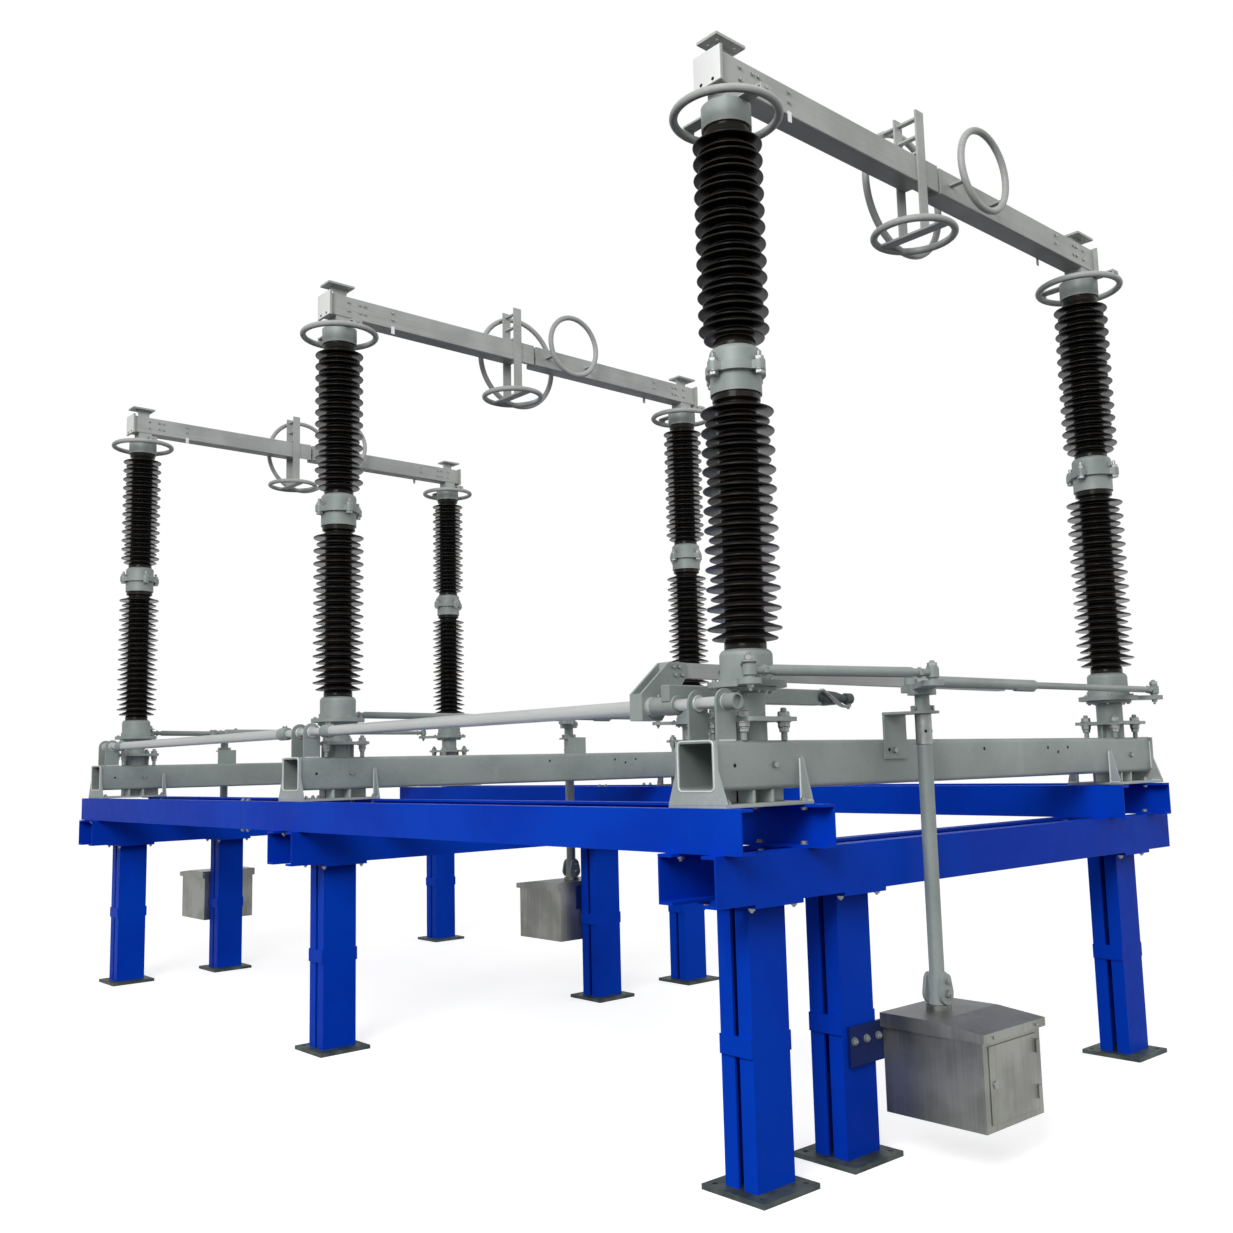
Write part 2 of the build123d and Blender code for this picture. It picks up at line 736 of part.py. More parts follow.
def all_nodes():
    poles = range(pole_count)
    nodes = {"foot_plates": [foot_plate(x, pole_y(pole)) for pole in poles for x in leg_places(pole)]}
    for pole in poles:
        y, name = pole_y(pole), pole + 1
        nodes[f"legs_{name}"] = [leg(x, y) for x in leg_places(pole)]
        nodes[f"cross_beam_{name}"] = cross_beam(y)
        nodes[f"base_beam_{name}"] = [base_beam(y)]
        nodes[f"drive_shaft_{name}"] = [drive_shaft(pole)]
        nodes[f"link_rod_a{name}"] = [rod_a(pole)]
        nodes[f"link_rod_b{name}"] = [rod_b(pole)]
        for letter in "ab":
            nodes.update(column_nodes(pole, letter))
    nodes["rail_front"] = rail(column_a + front_rail_offset)
    nodes["rail_rear"] = rail(column_b + rear_rail_offset)
    nodes["bearing_housings"] = [bearing_housing(x, pole_y(p)) for p in poles for x in (column_a, column_b)]
    nodes["shaft_brackets"] = [shaft_bracket(pole) for pole in poles]
    nodes["drive_boxes"] = [drive_box(pole) for pole in poles]
    nodes["drive_box_lids"] = [drive_lid(pole) for pole in poles]
    nodes["drive_box_brackets"] = [box_bracket(pole) for pole in poles]
    nodes["earth_bearing_plates"] = earth_plates()
    nodes["earth_shaft"] = [earth_shaft()]
    nodes["earth_arm"] = [earth_arm()]
    nodes["earth_blade"] = [earth_blade()]
    return nodes


os.makedirs("parts", exist_ok=True)
for node, solids in all_nodes().items():
    shape = solids[0] if len(solids) == 1 else Compound(children=solids)
    export_step(shape, f"parts/{node}.step")
    print(node, len(solids))
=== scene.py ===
import bmesh
import bpy
import json
import numpy as np
from math import pi, radians
from mathutils import Matrix, Vector


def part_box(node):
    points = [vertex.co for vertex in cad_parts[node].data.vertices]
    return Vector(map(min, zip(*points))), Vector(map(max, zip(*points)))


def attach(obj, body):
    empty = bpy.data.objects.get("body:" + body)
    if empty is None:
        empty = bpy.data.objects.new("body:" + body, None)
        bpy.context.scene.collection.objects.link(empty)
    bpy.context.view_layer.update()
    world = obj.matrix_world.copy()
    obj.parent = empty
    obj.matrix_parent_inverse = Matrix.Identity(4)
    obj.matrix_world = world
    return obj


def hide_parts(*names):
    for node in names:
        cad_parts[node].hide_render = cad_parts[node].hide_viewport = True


# Looks of a three-pole centre-break disconnector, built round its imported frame. Metres, Z up.
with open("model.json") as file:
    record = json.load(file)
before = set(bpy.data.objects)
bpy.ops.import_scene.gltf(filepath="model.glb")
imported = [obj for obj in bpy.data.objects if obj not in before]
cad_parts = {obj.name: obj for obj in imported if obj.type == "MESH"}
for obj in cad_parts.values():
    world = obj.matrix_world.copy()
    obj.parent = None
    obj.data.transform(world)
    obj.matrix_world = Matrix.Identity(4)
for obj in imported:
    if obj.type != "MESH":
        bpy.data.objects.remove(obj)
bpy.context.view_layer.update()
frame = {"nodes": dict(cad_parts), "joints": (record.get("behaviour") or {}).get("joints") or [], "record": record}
nodes, record = frame["nodes"], frame["record"]
axes = {joint["name"]: np.array(joint["pos_m"]) for joint in frame["joints"]}
slotOf = {part["node"]: part["material_slot"] for part in record["subparts"]}
poles, signs = (1, 2, 3), (-1, 1)
deck = axes["pole_1_opening"][2]      # top of the base tubes
weld = 1e-6                           # points closer than this are one point

# One entry a column: its body, its axis, and the way its arm points along X
columns = []
for pole in poles:
    for letter, joint, turn in (("a", f"pole_{pole}_opening", 1), ("b", f"column_b{pole}_turn", -1)):
        columns.append({"name": f"{letter}{pole}", "body": f"column_{letter}{pole}",
                        "axis": axes[joint], "turn": turn})


# Shapes: a pair of arrays, points (n, 3) and quads (m, 4)
def gridFaces(rows, across):
    # quads over rows of points, each row closed on itself
    index = np.arange(rows * across).reshape(rows, across)
    index = np.column_stack([index, index[:, :1]])
    return np.stack([index[:-1, :-1], index[:-1, 1:], index[1:, 1:], index[1:, :-1]], -1).reshape(-1, 4)


def lathe(profile, segments):
    # point(u, v) = (r(u) cos v, r(u) sin v, z(u)), the profile going up the outside
    radius, height = np.asarray(profile, float).T
    turn = np.linspace(0, 2 * pi, segments, endpoint=False)
    points = np.stack([np.outer(radius, np.cos(turn)), np.outer(radius, np.sin(turn)),
                       np.repeat(height[:, None], segments, 1)], -1)
    return points.reshape(-1, 3), gridFaces(len(radius), segments)


def sweep(path, across, over, segments):
    # point(u, v) = path(u) + across(u) cos v + over(u) sin v, closed by a point at each end
    turn = np.linspace(0, 2 * pi, segments, endpoint=False)[:, None]
    points = path[:, None] + across[:, None] * np.cos(turn) + over[:, None] * np.sin(turn)
    ends = [np.repeat(path[end][None, None], segments, 1) for end in (0, -1)]
    return np.concatenate([ends[0], points, ends[1]]).reshape(-1, 3), gridFaces(len(path) + 2, segments)


def lifted(places, level):
    # (x, y) places at one level
    return np.column_stack([places, np.full(len(places), level)])


def prism(outline, low, high, edge):
    # an outline carried from low to high, drawn in by the edge at both ends and closed at its middle
    outline = np.asarray(outline, float)
    middle = outline.mean(0)
    shrink = 1 - edge / np.abs(outline - middle).max(0)
    rings = ((0, low), (shrink, low), (1, low + edge), (1, high - edge), (shrink, high), (0, high))
    points = [lifted(middle + share * (outline - middle), level) for share, level in rings]
    return np.concatenate(points), gridFaces(len(rings), len(outline))


def roundedBox(width, depth, corner, steps=5):
    # outline(t): four quarter arcs of the corner radius round a width by depth rectangle
    quarter = np.linspace(0, pi / 2, steps)
    turns = (quarter[None] + np.arange(4)[:, None] * pi / 2).ravel()
    signs = np.array([(1, 1), (-1, 1), (-1, -1), (1, -1)]).repeat(steps, 0)
    centres = signs * (width / 2 - corner, depth / 2 - corner)
    return centres + corner * np.column_stack([np.cos(turns), np.sin(turns)])


def ringOf(count, reach, first=0):
    # places (x, y) round a circle, the first one at a share of the step between two
    turn = (np.arange(count) + first) * 2 * pi / count
    return reach * np.column_stack([np.cos(turn), np.sin(turn)])


def toward(direction):
    # the turn that takes +Z to a direction
    z = np.asarray(direction, float) / np.linalg.norm(direction)
    x = np.cross((0, 1, 0) if abs(z[1]) < 0.9 else (1, 0, 0), z)
    x /= np.linalg.norm(x)
    return np.column_stack([x, np.cross(z, x), z])


def copies(shape, places, direction=(0, 0, 1)):
    # one shape at many places, its +Z along the direction
    points, faces = shape
    places = np.asarray(places, float).reshape(-1, 3)
    spun = points @ toward(direction).T
    shifts = len(points) * np.arange(len(places))
    return (places[:, None] + spun).reshape(-1, 3), (faces + shifts[:, None, None]).reshape(-1, 4)


def joined(*shapes):
    counts = np.cumsum([0] + [len(points) for points, _ in shapes])
    return (np.concatenate([points for points, _ in shapes]),
            np.concatenate([faces + start for (_, faces), start in zip(shapes, counts)]))


def standing(shape, column):
    # from a column's own frame, arm along +X, to its place
    points, faces = shape
    x, y, _ = column["axis"]
    return points * (column["turn"], column["turn"], 1) + (x, y, 0), faces


def placed(name, data):
    made = bpy.data.objects.new(name, data)
    bpy.context.scene.collection.objects.link(made)
    return made


def piece(name, shape, body, material, sharp=35):
    points, faces = shape
    mesh = bpy.data.meshes.new(name)
    mesh.from_pydata(points.tolist(), [], faces.tolist())
    work = bmesh.new()
    work.from_mesh(mesh)
    bmesh.ops.remove_doubles(work, verts=work.verts, dist=weld)
    work.to_mesh(mesh)
    work.free()
    mesh.shade_smooth()
    mesh.set_sharp_from_angle(angle=radians(sharp))
    mesh.materials.append(material)
    made = placed(name, mesh)
    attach(made, body)
    return made


# Shader maths: a socket that adds Math nodes when it is used in an expression
class Wire:
    def __init__(self, tree, socket=None):
        self.tree, self.socket = tree, socket

    def add(self, kind, settings=None, sockets=None, out=0):
        node = self.tree.nodes.new(kind)
        for key, value in (settings or {}).items():
            setattr(node, key, value)
        for key, value in (sockets or {}).items():
            if isinstance(value, Wire):
                self.tree.links.new(value.socket, node.inputs[key])
            else:
                node.inputs[key].default_value = value
        return Wire(self.tree, node.outputs[out])

    def maths(self, operation, first, second):
        return self.add("ShaderNodeMath", {"operation": operation}, {0: first, 1: second})

    def __add__(self, other):
        return self.maths("ADD", self, other)

    __radd__ = __add__

    def __sub__(self, other):
        return self.maths("SUBTRACT", self, other)

    def __rsub__(self, other):
        return self.maths("SUBTRACT", other, self)

    def __mul__(self, other):
        return self.maths("MULTIPLY", self, other)

    __rmul__ = __mul__


def noise(wire, scale, detail, stretch=(1, 1, 1)):
    place = wire.add("ShaderNodeTexCoord", out="Object")
    spread = wire.add("ShaderNodeMapping", None, {"Vector": place, "Scale": stretch})
    return wire.add("ShaderNodeTexNoise", None, {"Vector": spread, "Scale": scale, "Detail": detail})


def band(wire, value, low, high):
    # 0 below low, 1 above high, even between
    return wire.add("ShaderNodeMapRange", {"interpolation_type": "SMOOTHSTEP"},
                    {"Value": value, "From Min": low, "From Max": high})


def mixed(wire, share, first, second):
    def colour(value):
        return value if isinstance(value, Wire) else (*value, 1)
    sockets = {0: share, 6: colour(first), 7: colour(second)}
    return wire.add("ShaderNodeMix", {"data_type": "RGBA"}, sockets, 2)


def bumped(wire, strength, distance, *pattern):
    return wire.add("ShaderNodeBump", None,
                    {"Strength": strength, "Distance": distance, "Height": noise(wire, *pattern)})


def finish(name, build, constants):
    # a Principled material: constants sit on its sockets, and build returns what varies
    material = bpy.data.materials.new(name)
    material.use_nodes = True
    tree = material.node_tree
    shader = tree.nodes["Principled BSDF"]
    for key, value in constants.items():
        shader.inputs[key].default_value = value
    for key, wire in build(Wire(tree)).items():
        tree.links.new(wire.socket, shader.inputs[key])
    return material


# Finishes. A noise is its scale, its detail and how it stretches; a roughness is its level, its spread and
# its noise; a bump is its strength, its distance and its noise.
grainShare = 0.3


def twoTone(look):
    # base colour from dull to bright by a cloud, with grain in it and edges to it where the look has them
    def build(wire):
        cloud = noise(wire, *look["cloud"])
        if "grain" in look:
            cloud = cloud + grainShare * (noise(wire, *look["grain"]) - 0.5)
        if "edges" in look:
            cloud = band(wire, cloud, *look["edges"])
        varied = {"Base Color": mixed(wire, cloud, look["dull"], look["bright"])}
        if "rough" in look:
            level, spread, *pattern = look["rough"]
            varied["Roughness"] = level + spread * noise(wire, *pattern)
        if "bump" in look:
            varied["Normal"] = bumped(wire, *look["bump"])
        return varied
    return build


blueLook = {"dull": (0.0, 0.044, 0.54), "bright": (0.0, 0.060, 0.64), "chalk": (0.0, 0.092, 0.62),
            "cloud": (1.3, 4), "edges": (0.35, 0.65), "rubbed": (9, 6, (1, 1, 0.25)),
            "rubbedEdges": (0.62, 0.75), "chalkShare": 0.25, "rough": (0.42, 0.16, 14, 3),
            "bump": (0.06, 0.002, 260, 2)}


def bluePaint(wire):
    # paint in slow clouds, rubbed chalky in places
    look = blueLook
    varied = twoTone(look)(wire)
    rubbed = band(wire, noise(wire, *look["rubbed"]), *look["rubbedEdges"]) * look["chalkShare"]
    varied["Base Color"] = mixed(wire, rubbed, varied["Base Color"], look["chalk"])
    return varied


# Galvanised zinc: its tones are partly the metal's grey and partly a painted shade, set darker to match the tubes'
# shaded faces
zincAndShadeLook = {"dull": (0.255, 0.295, 0.28), "bright": (0.325, 0.37, 0.35), "bloom": (0.46, 0.50, 0.48),
            "cloud": (2.4, 5), "edges": (0.34, 0.66), "spangle": 55, "spangleShare": 0.08,
            "streaks": (6, 6, (1, 1, 0.3)), "streakEdges": (0.64, 0.80), "bloomShare": 0.4, "rough": 0.46,
            "spangleRough": 0.08, "metal": 0.12, "bloomMetal": 0.06, "bump": (0.05, 0.002, 120, 3)}
# Saddles: the same zinc in lighter tones, without the painted shade of the tubes' copy
saddleLook = {**zincAndShadeLook, "dull": (0.34, 0.38, 0.37), "bright": (0.43, 0.475, 0.46),
              "bloom": (0.54, 0.58, 0.565)}


def zinc(look):
    # hot-dip zinc: spangle cells over slow clouds, with pale bloom in streaks
    def build(wire):
        place = wire.add("ShaderNodeTexCoord", out="Object")
        spangle = wire.add("ShaderNodeTexVoronoi", None, {"Vector": place, "Scale": look["spangle"]}, "Color")
        cell = wire.add("ShaderNodeSeparateColor", None, {0: spangle})
        cloud = noise(wire, *look["cloud"]) + look["spangleShare"] * (cell - 0.5)
        base = mixed(wire, band(wire, cloud, *look["edges"]), look["dull"], look["bright"])
        bloom = band(wire, noise(wire, *look["streaks"]), *look["streakEdges"])
        return {"Base Color": mixed(wire, look["bloomShare"] * bloom, base, look["bloom"]),
                "Roughness": look["rough"] + look["spangleRough"] * cell,
                "Metallic": look["metal"] - look["bloomMetal"] * bloom, "Normal": bumped(wire, *look["bump"])}
    return build


braidLook = {"strand": (0.68, 0.69, 0.66), "gap": (0.34, 0.34, 0.32), "scale": 90, "distortion": 1.5}


def braidWire(wire):
    # woven strands: fine slanting stripes
    look = braidLook
    place = wire.add("ShaderNodeTexCoord", out="Object")
    weave = wire.add("ShaderNodeTexWave", {"wave_type": "BANDS", "bands_direction": "DIAGONAL"},
                     {"Vector": place, "Scale": look["scale"], "Distortion": look["distortion"]}, "Fac")
    return {"Base Color": mixed(wire, weave, look["gap"], look["strand"])}


castLook = {"dull": (0.25, 0.288, 0.273), "bright": (0.33, 0.374, 0.355), "cloud": (5, 4),
            "edges": (0.35, 0.65), "rough": (0.46, 0.16, 70, 5), "bump": (0.16, 0.003, 70, 5)}
glazeLook = {"dull": (0.0135, 0.0122, 0.0112), "bright": (0.025, 0.0195, 0.017), "cloud": (7, 4, (1, 1, 3)),
             "edges": (0.4, 0.7), "rough": (0.16, 0.14, 11, 4), "bump": (0.03, 0.003, 40, 2)}
drawn = (60, 3, (0.04, 1, 1))             # mill finish, drawn along the arms
aluminiumLook = {"dull": (0.40, 0.415, 0.40), "bright": (0.50, 0.515, 0.50), "cloud": (3, 4), "grain": drawn,
                 "edges": (0.35, 0.65), "rough": (0.36, 0.18, *drawn), "bump": (0.05, 0.001, *drawn)}
brushed = (90, 3, (1, 1, 0.03))           # stainless sheet, the brushing level
boxLook = {"dull": (0.19, 0.195, 0.175), "bright": (0.29, 0.295, 0.27), "cloud": (4, 5), "grain": brushed,
           "edges": (0.35, 0.65), "rough": (0.30, 0.2, 4, 5), "bump": (0.06, 0.001, *brushed)}
darkSteelLook = {"dull": (0.035, 0.05, 0.048), "bright": (0.09, 0.115, 0.11), "cloud": (12, 5),
                 "edges": (0.35, 0.7), "rough": (0.5, 0.2, 30, 3)}
navyLook = {"dull": (0.0, 0.010, 0.085), "bright": (0.002, 0.018, 0.15), "cloud": (3, 4),
            "edges": (0.35, 0.65), "rough": (0.36, 0.15, 20, 3)}
fastenerLook = {"dull": (0.17, 0.185, 0.18), "bright": (0.40, 0.42, 0.41), "cloud": (35, 3),
                "rough": (0.34, 0.2, 60, 2)}
# Welds: the beads are coloured near white, far paler than the zinc, a painted highlight along each bead over the
# weld's own metal
weldAndHighlightLook = {"dull": (0.58, 0.61, 0.60), "bright": (0.78, 0.81, 0.80), "cloud": (25, 4),
            "rough": (0.4, 0.2, 90, 2)}
paleLook = {"dull": (0.76, 0.77, 0.76), "bright": (0.86, 0.87, 0.86), "cloud": (6, 4),
            "rough": (0.34, 0.16, 24, 3)}
tubing = (30, 4, (1, 0.1, 1))             # bright tubes, drawn along Y
brightLook = {"dull": (0.48, 0.50, 0.49), "bright": (0.62, 0.64, 0.63), "cloud": tubing,
              "rough": (0.34, 0.2, *tubing)}
shadeLook = {"dull": (0.012, 0.014, 0.014), "bright": (0.03, 0.034, 0.033), "cloud": (60, 2)}

finishes = {
    "frame_blue": finish("bluePaint", bluePaint, {"Specular IOR Level": 0.06}),
    "galvanised": finish("hotDipZinc", zinc(zincAndShadeLook), {}),
    "casting": finish("castZinc", twoTone(castLook), {"Metallic": 0.12}),
    "porcelain": finish("brownGlaze", twoTone(glazeLook),
                        {"Coat Weight": 0.04, "Coat Roughness": 0.08, "Specular IOR Level": 0.10}),
    "aluminium": finish("millAluminium", twoTone(aluminiumLook),
                        {"Metallic": 0.05, "Specular IOR Level": 0.12}),
    "box_sheet": finish("brushedStainless", twoTone(boxLook), {"Metallic": 0.85}),
    "foot_steel": finish("darkSteel", twoTone(darkSteelLook), {"Metallic": 0.5}),
    "box_bracket": finish("navyPaint", twoTone(navyLook), {"Specular IOR Level": 0.3})}
boltFinish = finish("fastenerZinc", twoTone(fastenerLook), {"Metallic": 0.7})
weldAndHighlightFinish = finish("weldZinc", twoTone(weldAndHighlightLook), {"Metallic": 0.4})
paleFinish = finish("paleSheet", twoTone(paleLook), {"Metallic": 0.3})
shadeFinish = finish("holeShade", twoTone(shadeLook), {"Roughness": 0.8, "Specular IOR Level": 0.1})
braidFinish = finish("braid", braidWire, {"Roughness": 0.55, "Metallic": 0.2})
brightFinish = finish("brightZinc", twoTone(brightLook), {"Metallic": 0.4})
saddleFinish = finish("saddleZinc", zinc(saddleLook), {})
for name, node in nodes.items():
    node.data.materials.clear()
    node.data.materials.append(finishes[slotOf[name]])
print("finishes:", len(bpy.data.materials))

# Porcelain units: sheds on a core, with a plain collar at each cap
units = {"core": 0.075, "segments": 60, "collar": 0.036, "collarShare": 0.7, "gap": 0.188, "rimSteps": 7,
         "filletShares": ((0, 1.25), (0.035, 1.0), (0.12, 0.82)),        # of a shed's reach and of its root
         "lower": {"length": 0.992, "large": 0.1435, "small": 0.1265, "sheds": 24, "collars": (0.081, 0.094),
                   "edge": 0.0042, "root": 0.013, "droop": 0.013},
         "upper": {"length": 0.905, "large": 0.1395, "small": 0.120, "sheds": 24, "collars": (0.084, 0.092),
                   "edge": 0.0040, "root": 0.012, "droop": 0.012}}


def shedProfile(unit):
    # each shed: out along its underside, round its edge by half a turn, back along its top to the core
    core, collar, length, edge = units["core"], units["collar"], unit["length"], unit["edge"]
    index = np.arange(unit["sheds"])[:, None]
    radii = np.where(index % 2 == 0, unit["small"], unit["large"])
    levels = collar + (length - 2 * collar) / unit["sheds"] * (index + 0.5)
    turn = np.linspace(-pi / 2, pi / 2, units["rimSteps"])
    out, rise = np.array(units["filletShares"]).T
    under = np.stack([core + out * (radii - core), levels - unit["root"] * rise], -1)
    above = np.stack([core + out * (radii - core), levels + unit["root"] * rise], -1)[:, ::-1]
    rim = np.stack([radii - edge * (1 - np.cos(turn)), levels - unit["droop"] + edge * np.sin(turn)], -1)
    plain = units["collarShare"] * collar
    low, high = unit["collars"]
    ends = [(0, 0), (low, 0), (low, plain), (core, collar)]
    tops = [(core, length - collar), (high, length - plain), (high, length), (0, length)]
    return np.concatenate([ends, np.concatenate([under, rim, above], 1).reshape(-1, 2), tops])


def shedStack(column):
    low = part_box(f"porcelain_{column['name']}")[0].z
    shapes = []
    for part in ("lower", "upper"):
        profile = shedProfile(units[part]) + (0, low)
        shapes.append(standing(lathe(profile, units["segments"]), column))
        low += units[part]["length"] + units["gap"]
    return joined(*shapes)


for column in columns:
    sheds = piece(f"sheds_{column['name']}", shedStack(column), column["body"],
                  finishes["porcelain"], sharp=60)
    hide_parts(f"porcelain_{column['name']}")
print("porcelain:", len(columns), "stacks")


# Fasteners: a washer, a six-sided head and a stud end, in shares of the thread's diameter
fastener = {"washer": 1.15, "washerThick": 0.18, "head": 0.98, "headThick": 0.75, "chamfer": 0.14,
            "stud": 0.5}
washerSides, headSides, studSides = 14, 6, 8


def hexBolt(size, stud):
    # stacked lathes for the washer, the head and the stud that stands out of it
    f = {key: value * size for key, value in fastener.items()}
    thick, chamfer = f["washerThick"], f["chamfer"]
    top = thick + f["headThick"]
    washer = lathe([(0, 0), (f["washer"], 0), (f["washer"], thick), (0, thick)], washerSides)
    head = lathe([(f["head"], thick), (f["head"], top - chamfer), (f["head"] - chamfer, top), (0, top)],
                 headSides)
    if not stud:
        return joined(washer, head)
    end = lathe([(f["stud"], top), (f["stud"], top + stud - chamfer), (f["stud"] - chamfer, top + stud),
                 (0, top + stud)], studSides)
    return joined(washer, head, end)


def boltsAt(places, direction, size, stud=0):
    return copies(hexBolt(size, stud), places, direction)


def block(first, second, edge):
    # a box between two opposite corners with its edges drawn in
    low, high = np.minimum(first, second), np.maximum(first, second)
    x, y, _ = high - low
    points, faces = prism(roundedBox(x, y, edge, steps=3), low[2], high[2], edge)
    return points + (low + high) / 2 * (1, 1, 0), faces


def sleeve(start, end, radius, sides, edge):
    # a round or six-sided collar from start to end, its edges drawn in
    start, end = np.asarray(start, float), np.asarray(end, float)
    length = np.linalg.norm(end - start)
    profile = [(0, 0), (radius - edge, 0), (radius, edge), (radius, length - edge), (radius - edge, length),
               (0, length)]
    return copies(lathe(profile, sides), start, end - start)


beads = {"radius": 0.0045, "ripple": 0.006, "swell": 0.18, "rippleSteps": 3, "fewest": 4, "sides": 6}


def bead(start, end):
    # a weld along a straight seam, swept with the radius r(s) = radius (1 + swell cos(2 pi s / ripple))
    b = beads
    start, end = np.asarray(start, float), np.asarray(end, float)
    length = np.linalg.norm(end - start)
    along = np.linspace(0, 1, max(b["fewest"], int(length / b["ripple"] * b["rippleSteps"])))[:, None]
    radius = b["radius"] * (1 + b["swell"] * np.cos(2 * pi * along * length / b["ripple"]))
    ahead = (end - start) / length
    side = np.cross(ahead, (0, 1, 0) if abs(ahead[2]) > 0.5 else (0, 0, 1))
    side /= np.linalg.norm(side)
    return sweep(start + along * (end - start), radius * side, radius * np.cross(ahead, side), b["sides"])


# Bolts and trim of a column: lug bolts of the middle joint, arm bolts, ring screws, turntable bolts
columnBolts = {"lugReach": 0.124, "lugSize": 0.020, "lugHalf": 0.017, "lugStud": 0.022, "lugCount": 4,
               "armSize": 0.0085, "armPlaces": ((0.03, 0.03), (0.03, -0.022), (0.105, 0.03), (0.105, -0.02),
                                                (0.140, 0.03), (0.140, -0.02), (0.33, 0.034), (0.33, -0.01)),
               "discReach": 0.128, "discSize": 0.010, "discCount": 6, "ringSize": 0.008, "ringReach": 0.216,
               "ringDrop": 0.016, "capReach": 0.085, "capSize": 0.010}
armHalf, strapTop = 0.055, 0.103                # arm's half width; strap's top over the upper porcelain
levelRingDrop, levelRingBar = 0.3, 0.017        # the level ring's middle under the arm's; half its bar
leverTop = axes["rod_a1_pivot"][2]
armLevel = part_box("rings_a1")[0].z + levelRingDrop + levelRingBar


def boltsOfColumn(column):
    c = columnBolts
    low, high = (corner.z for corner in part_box(f"porcelain_{column['name']}"))
    middle = low + units["lower"]["length"] + units["gap"] / 2
    lugs = ringOf(c["lugCount"], c["lugReach"])
    shapes = [boltsAt(lifted(lugs, middle + c["lugHalf"]), (0, 0, 1), c["lugSize"], c["lugStud"]),
              boltsAt(lifted(lugs, middle - c["lugHalf"]), (0, 0, -1), c["lugSize"])]
    for side in signs:
        spots = [(along, side * armHalf, armLevel + rise) for along, rise in c["armPlaces"]]
        shapes.append(boltsAt(spots, (0, side, 0), c["armSize"]))
        screw = (0, side * c["ringReach"], high + strapTop - c["ringDrop"])
        shapes.append(boltsAt(screw, (0, side, 0), c["ringSize"]))
        shapes.append(boltsAt((0, side * c["capReach"], high + strapTop), (0, 0, 1), c["capSize"]))
    disc = ringOf(c["discCount"], c["discReach"], 0.5)
    shapes.append(boltsAt(lifted(disc, leverTop), (0, 0, 1), c["discSize"]))
    return standing(joined(*shapes), column)


# Lever of a column: the pin's nut and lower end, and on column A a strap over the rod's eye from the foot cap
strap = {"start": 0.095, "past": 0.028, "width": 0.054, "low": 0.0565, "high": 0.0645, "edge": 0.002,
         "nut": 0.020, "stud": 0.008, "under": 0.014, "underStud": 0.012, "leverThick": 0.022}


def leverStrap(column):
    s = strap
    pin = (axes[f"rod_{column['name']}_pivot"] - column["axis"])[:2]
    shapes, seat = [], leverTop + s["low"]
    if column["turn"] > 0:
        seat = leverTop + s["high"]
        reach = np.hypot(*pin)
        points, faces = block((s["start"], -s["width"] / 2, leverTop + s["low"]),
                              (reach + s["past"], s["width"] / 2, seat), s["edge"])
        ahead = pin / reach
        turned = points[:, :2] @ np.array([ahead, (-ahead[1], ahead[0])])
        shapes.append((np.column_stack([turned, points[:, 2]]), faces))
    shapes.append(boltsAt((*pin, seat), (0, 0, 1), s["nut"], s["stud"]))
    shapes.append(boltsAt((*pin, leverTop - s["leverThick"]), (0, 0, -1), s["under"], s["underStud"]))
    points, faces = joined(*shapes)
    return points + (*column["axis"][:2], 0), faces


# Pale plate over the end of each arm, and the tab under its bolts
endPlate = {"face": -0.1022, "thick": 0.003, "half": 0.073, "edge": 0.0012,
            "tab": ((0.318, -0.0585, -0.098), (0.342, -0.0552, -0.05))}


def plateOfArm(column):
    e = endPlate
    plate = block((e["face"] - e["thick"], -e["half"], armLevel - e["half"]),
                  (e["face"], e["half"], armLevel + e["half"]), e["edge"])
    tab = block(*(np.array(corner) + (0, 0, armLevel) for corner in e["tab"]), e["edge"])
    return standing(joined(plate, tab), column)


for column in columns:
    name, body = column["name"], column["body"]
    piece(f"bolts_{name}", joined(boltsOfColumn(column), leverStrap(column)), body, boltFinish)
    piece(f"end_plate_{name}", plateOfArm(column), body, paleFinish)

# Dark holes drawn as thin discs: two in each end plate
holes = {"radius": 0.0075, "deep": 0.0008, "sides": 16, "places": ((-0.032, -0.058), (0.032, -0.058))}


def holeDisc(radius=holes["radius"], deep=holes["deep"]):
    return lathe([(0, 0), (radius, 0), (radius, deep), (0, deep)], holes["sides"])


for column in columns:
    face = endPlate["face"] - endPlate["thick"]
    spots = [(face, y, armLevel + rise) for y, rise in holes["places"]]
    shape = copies(holeDisc(), spots, (-1, 0, 0))
    piece(f"plate_holes_{column['name']}", standing(shape, column), column["body"], shadeFinish)

# Contact fingers between the jaws of column A, six over and six under the tongue
fingers = {"start": 1.335, "end": 1.408, "width": 0.0105, "pitch": 0.0135, "count": 6, "near": 0.0085,
           "far": 0.0222, "edge": 0.0015}


def contactFingers(column):
    f = fingers
    shapes = []
    for index in range(f["count"]):
        y = (index - (f["count"] - 1) / 2) * f["pitch"]
        for low, high in ((f["near"], f["far"]), (-f["far"], -f["near"])):
            shapes.append(block((f["start"], y - f["width"] / 2, armLevel + low),
                                (f["end"], y + f["width"] / 2, armLevel + high), f["edge"]))
    return standing(joined(*shapes), column)


for column in columns[::2]:
    piece(f"fingers_{column['name']}", contactFingers(column), column["body"], boltFinish)
print("columns dressed")

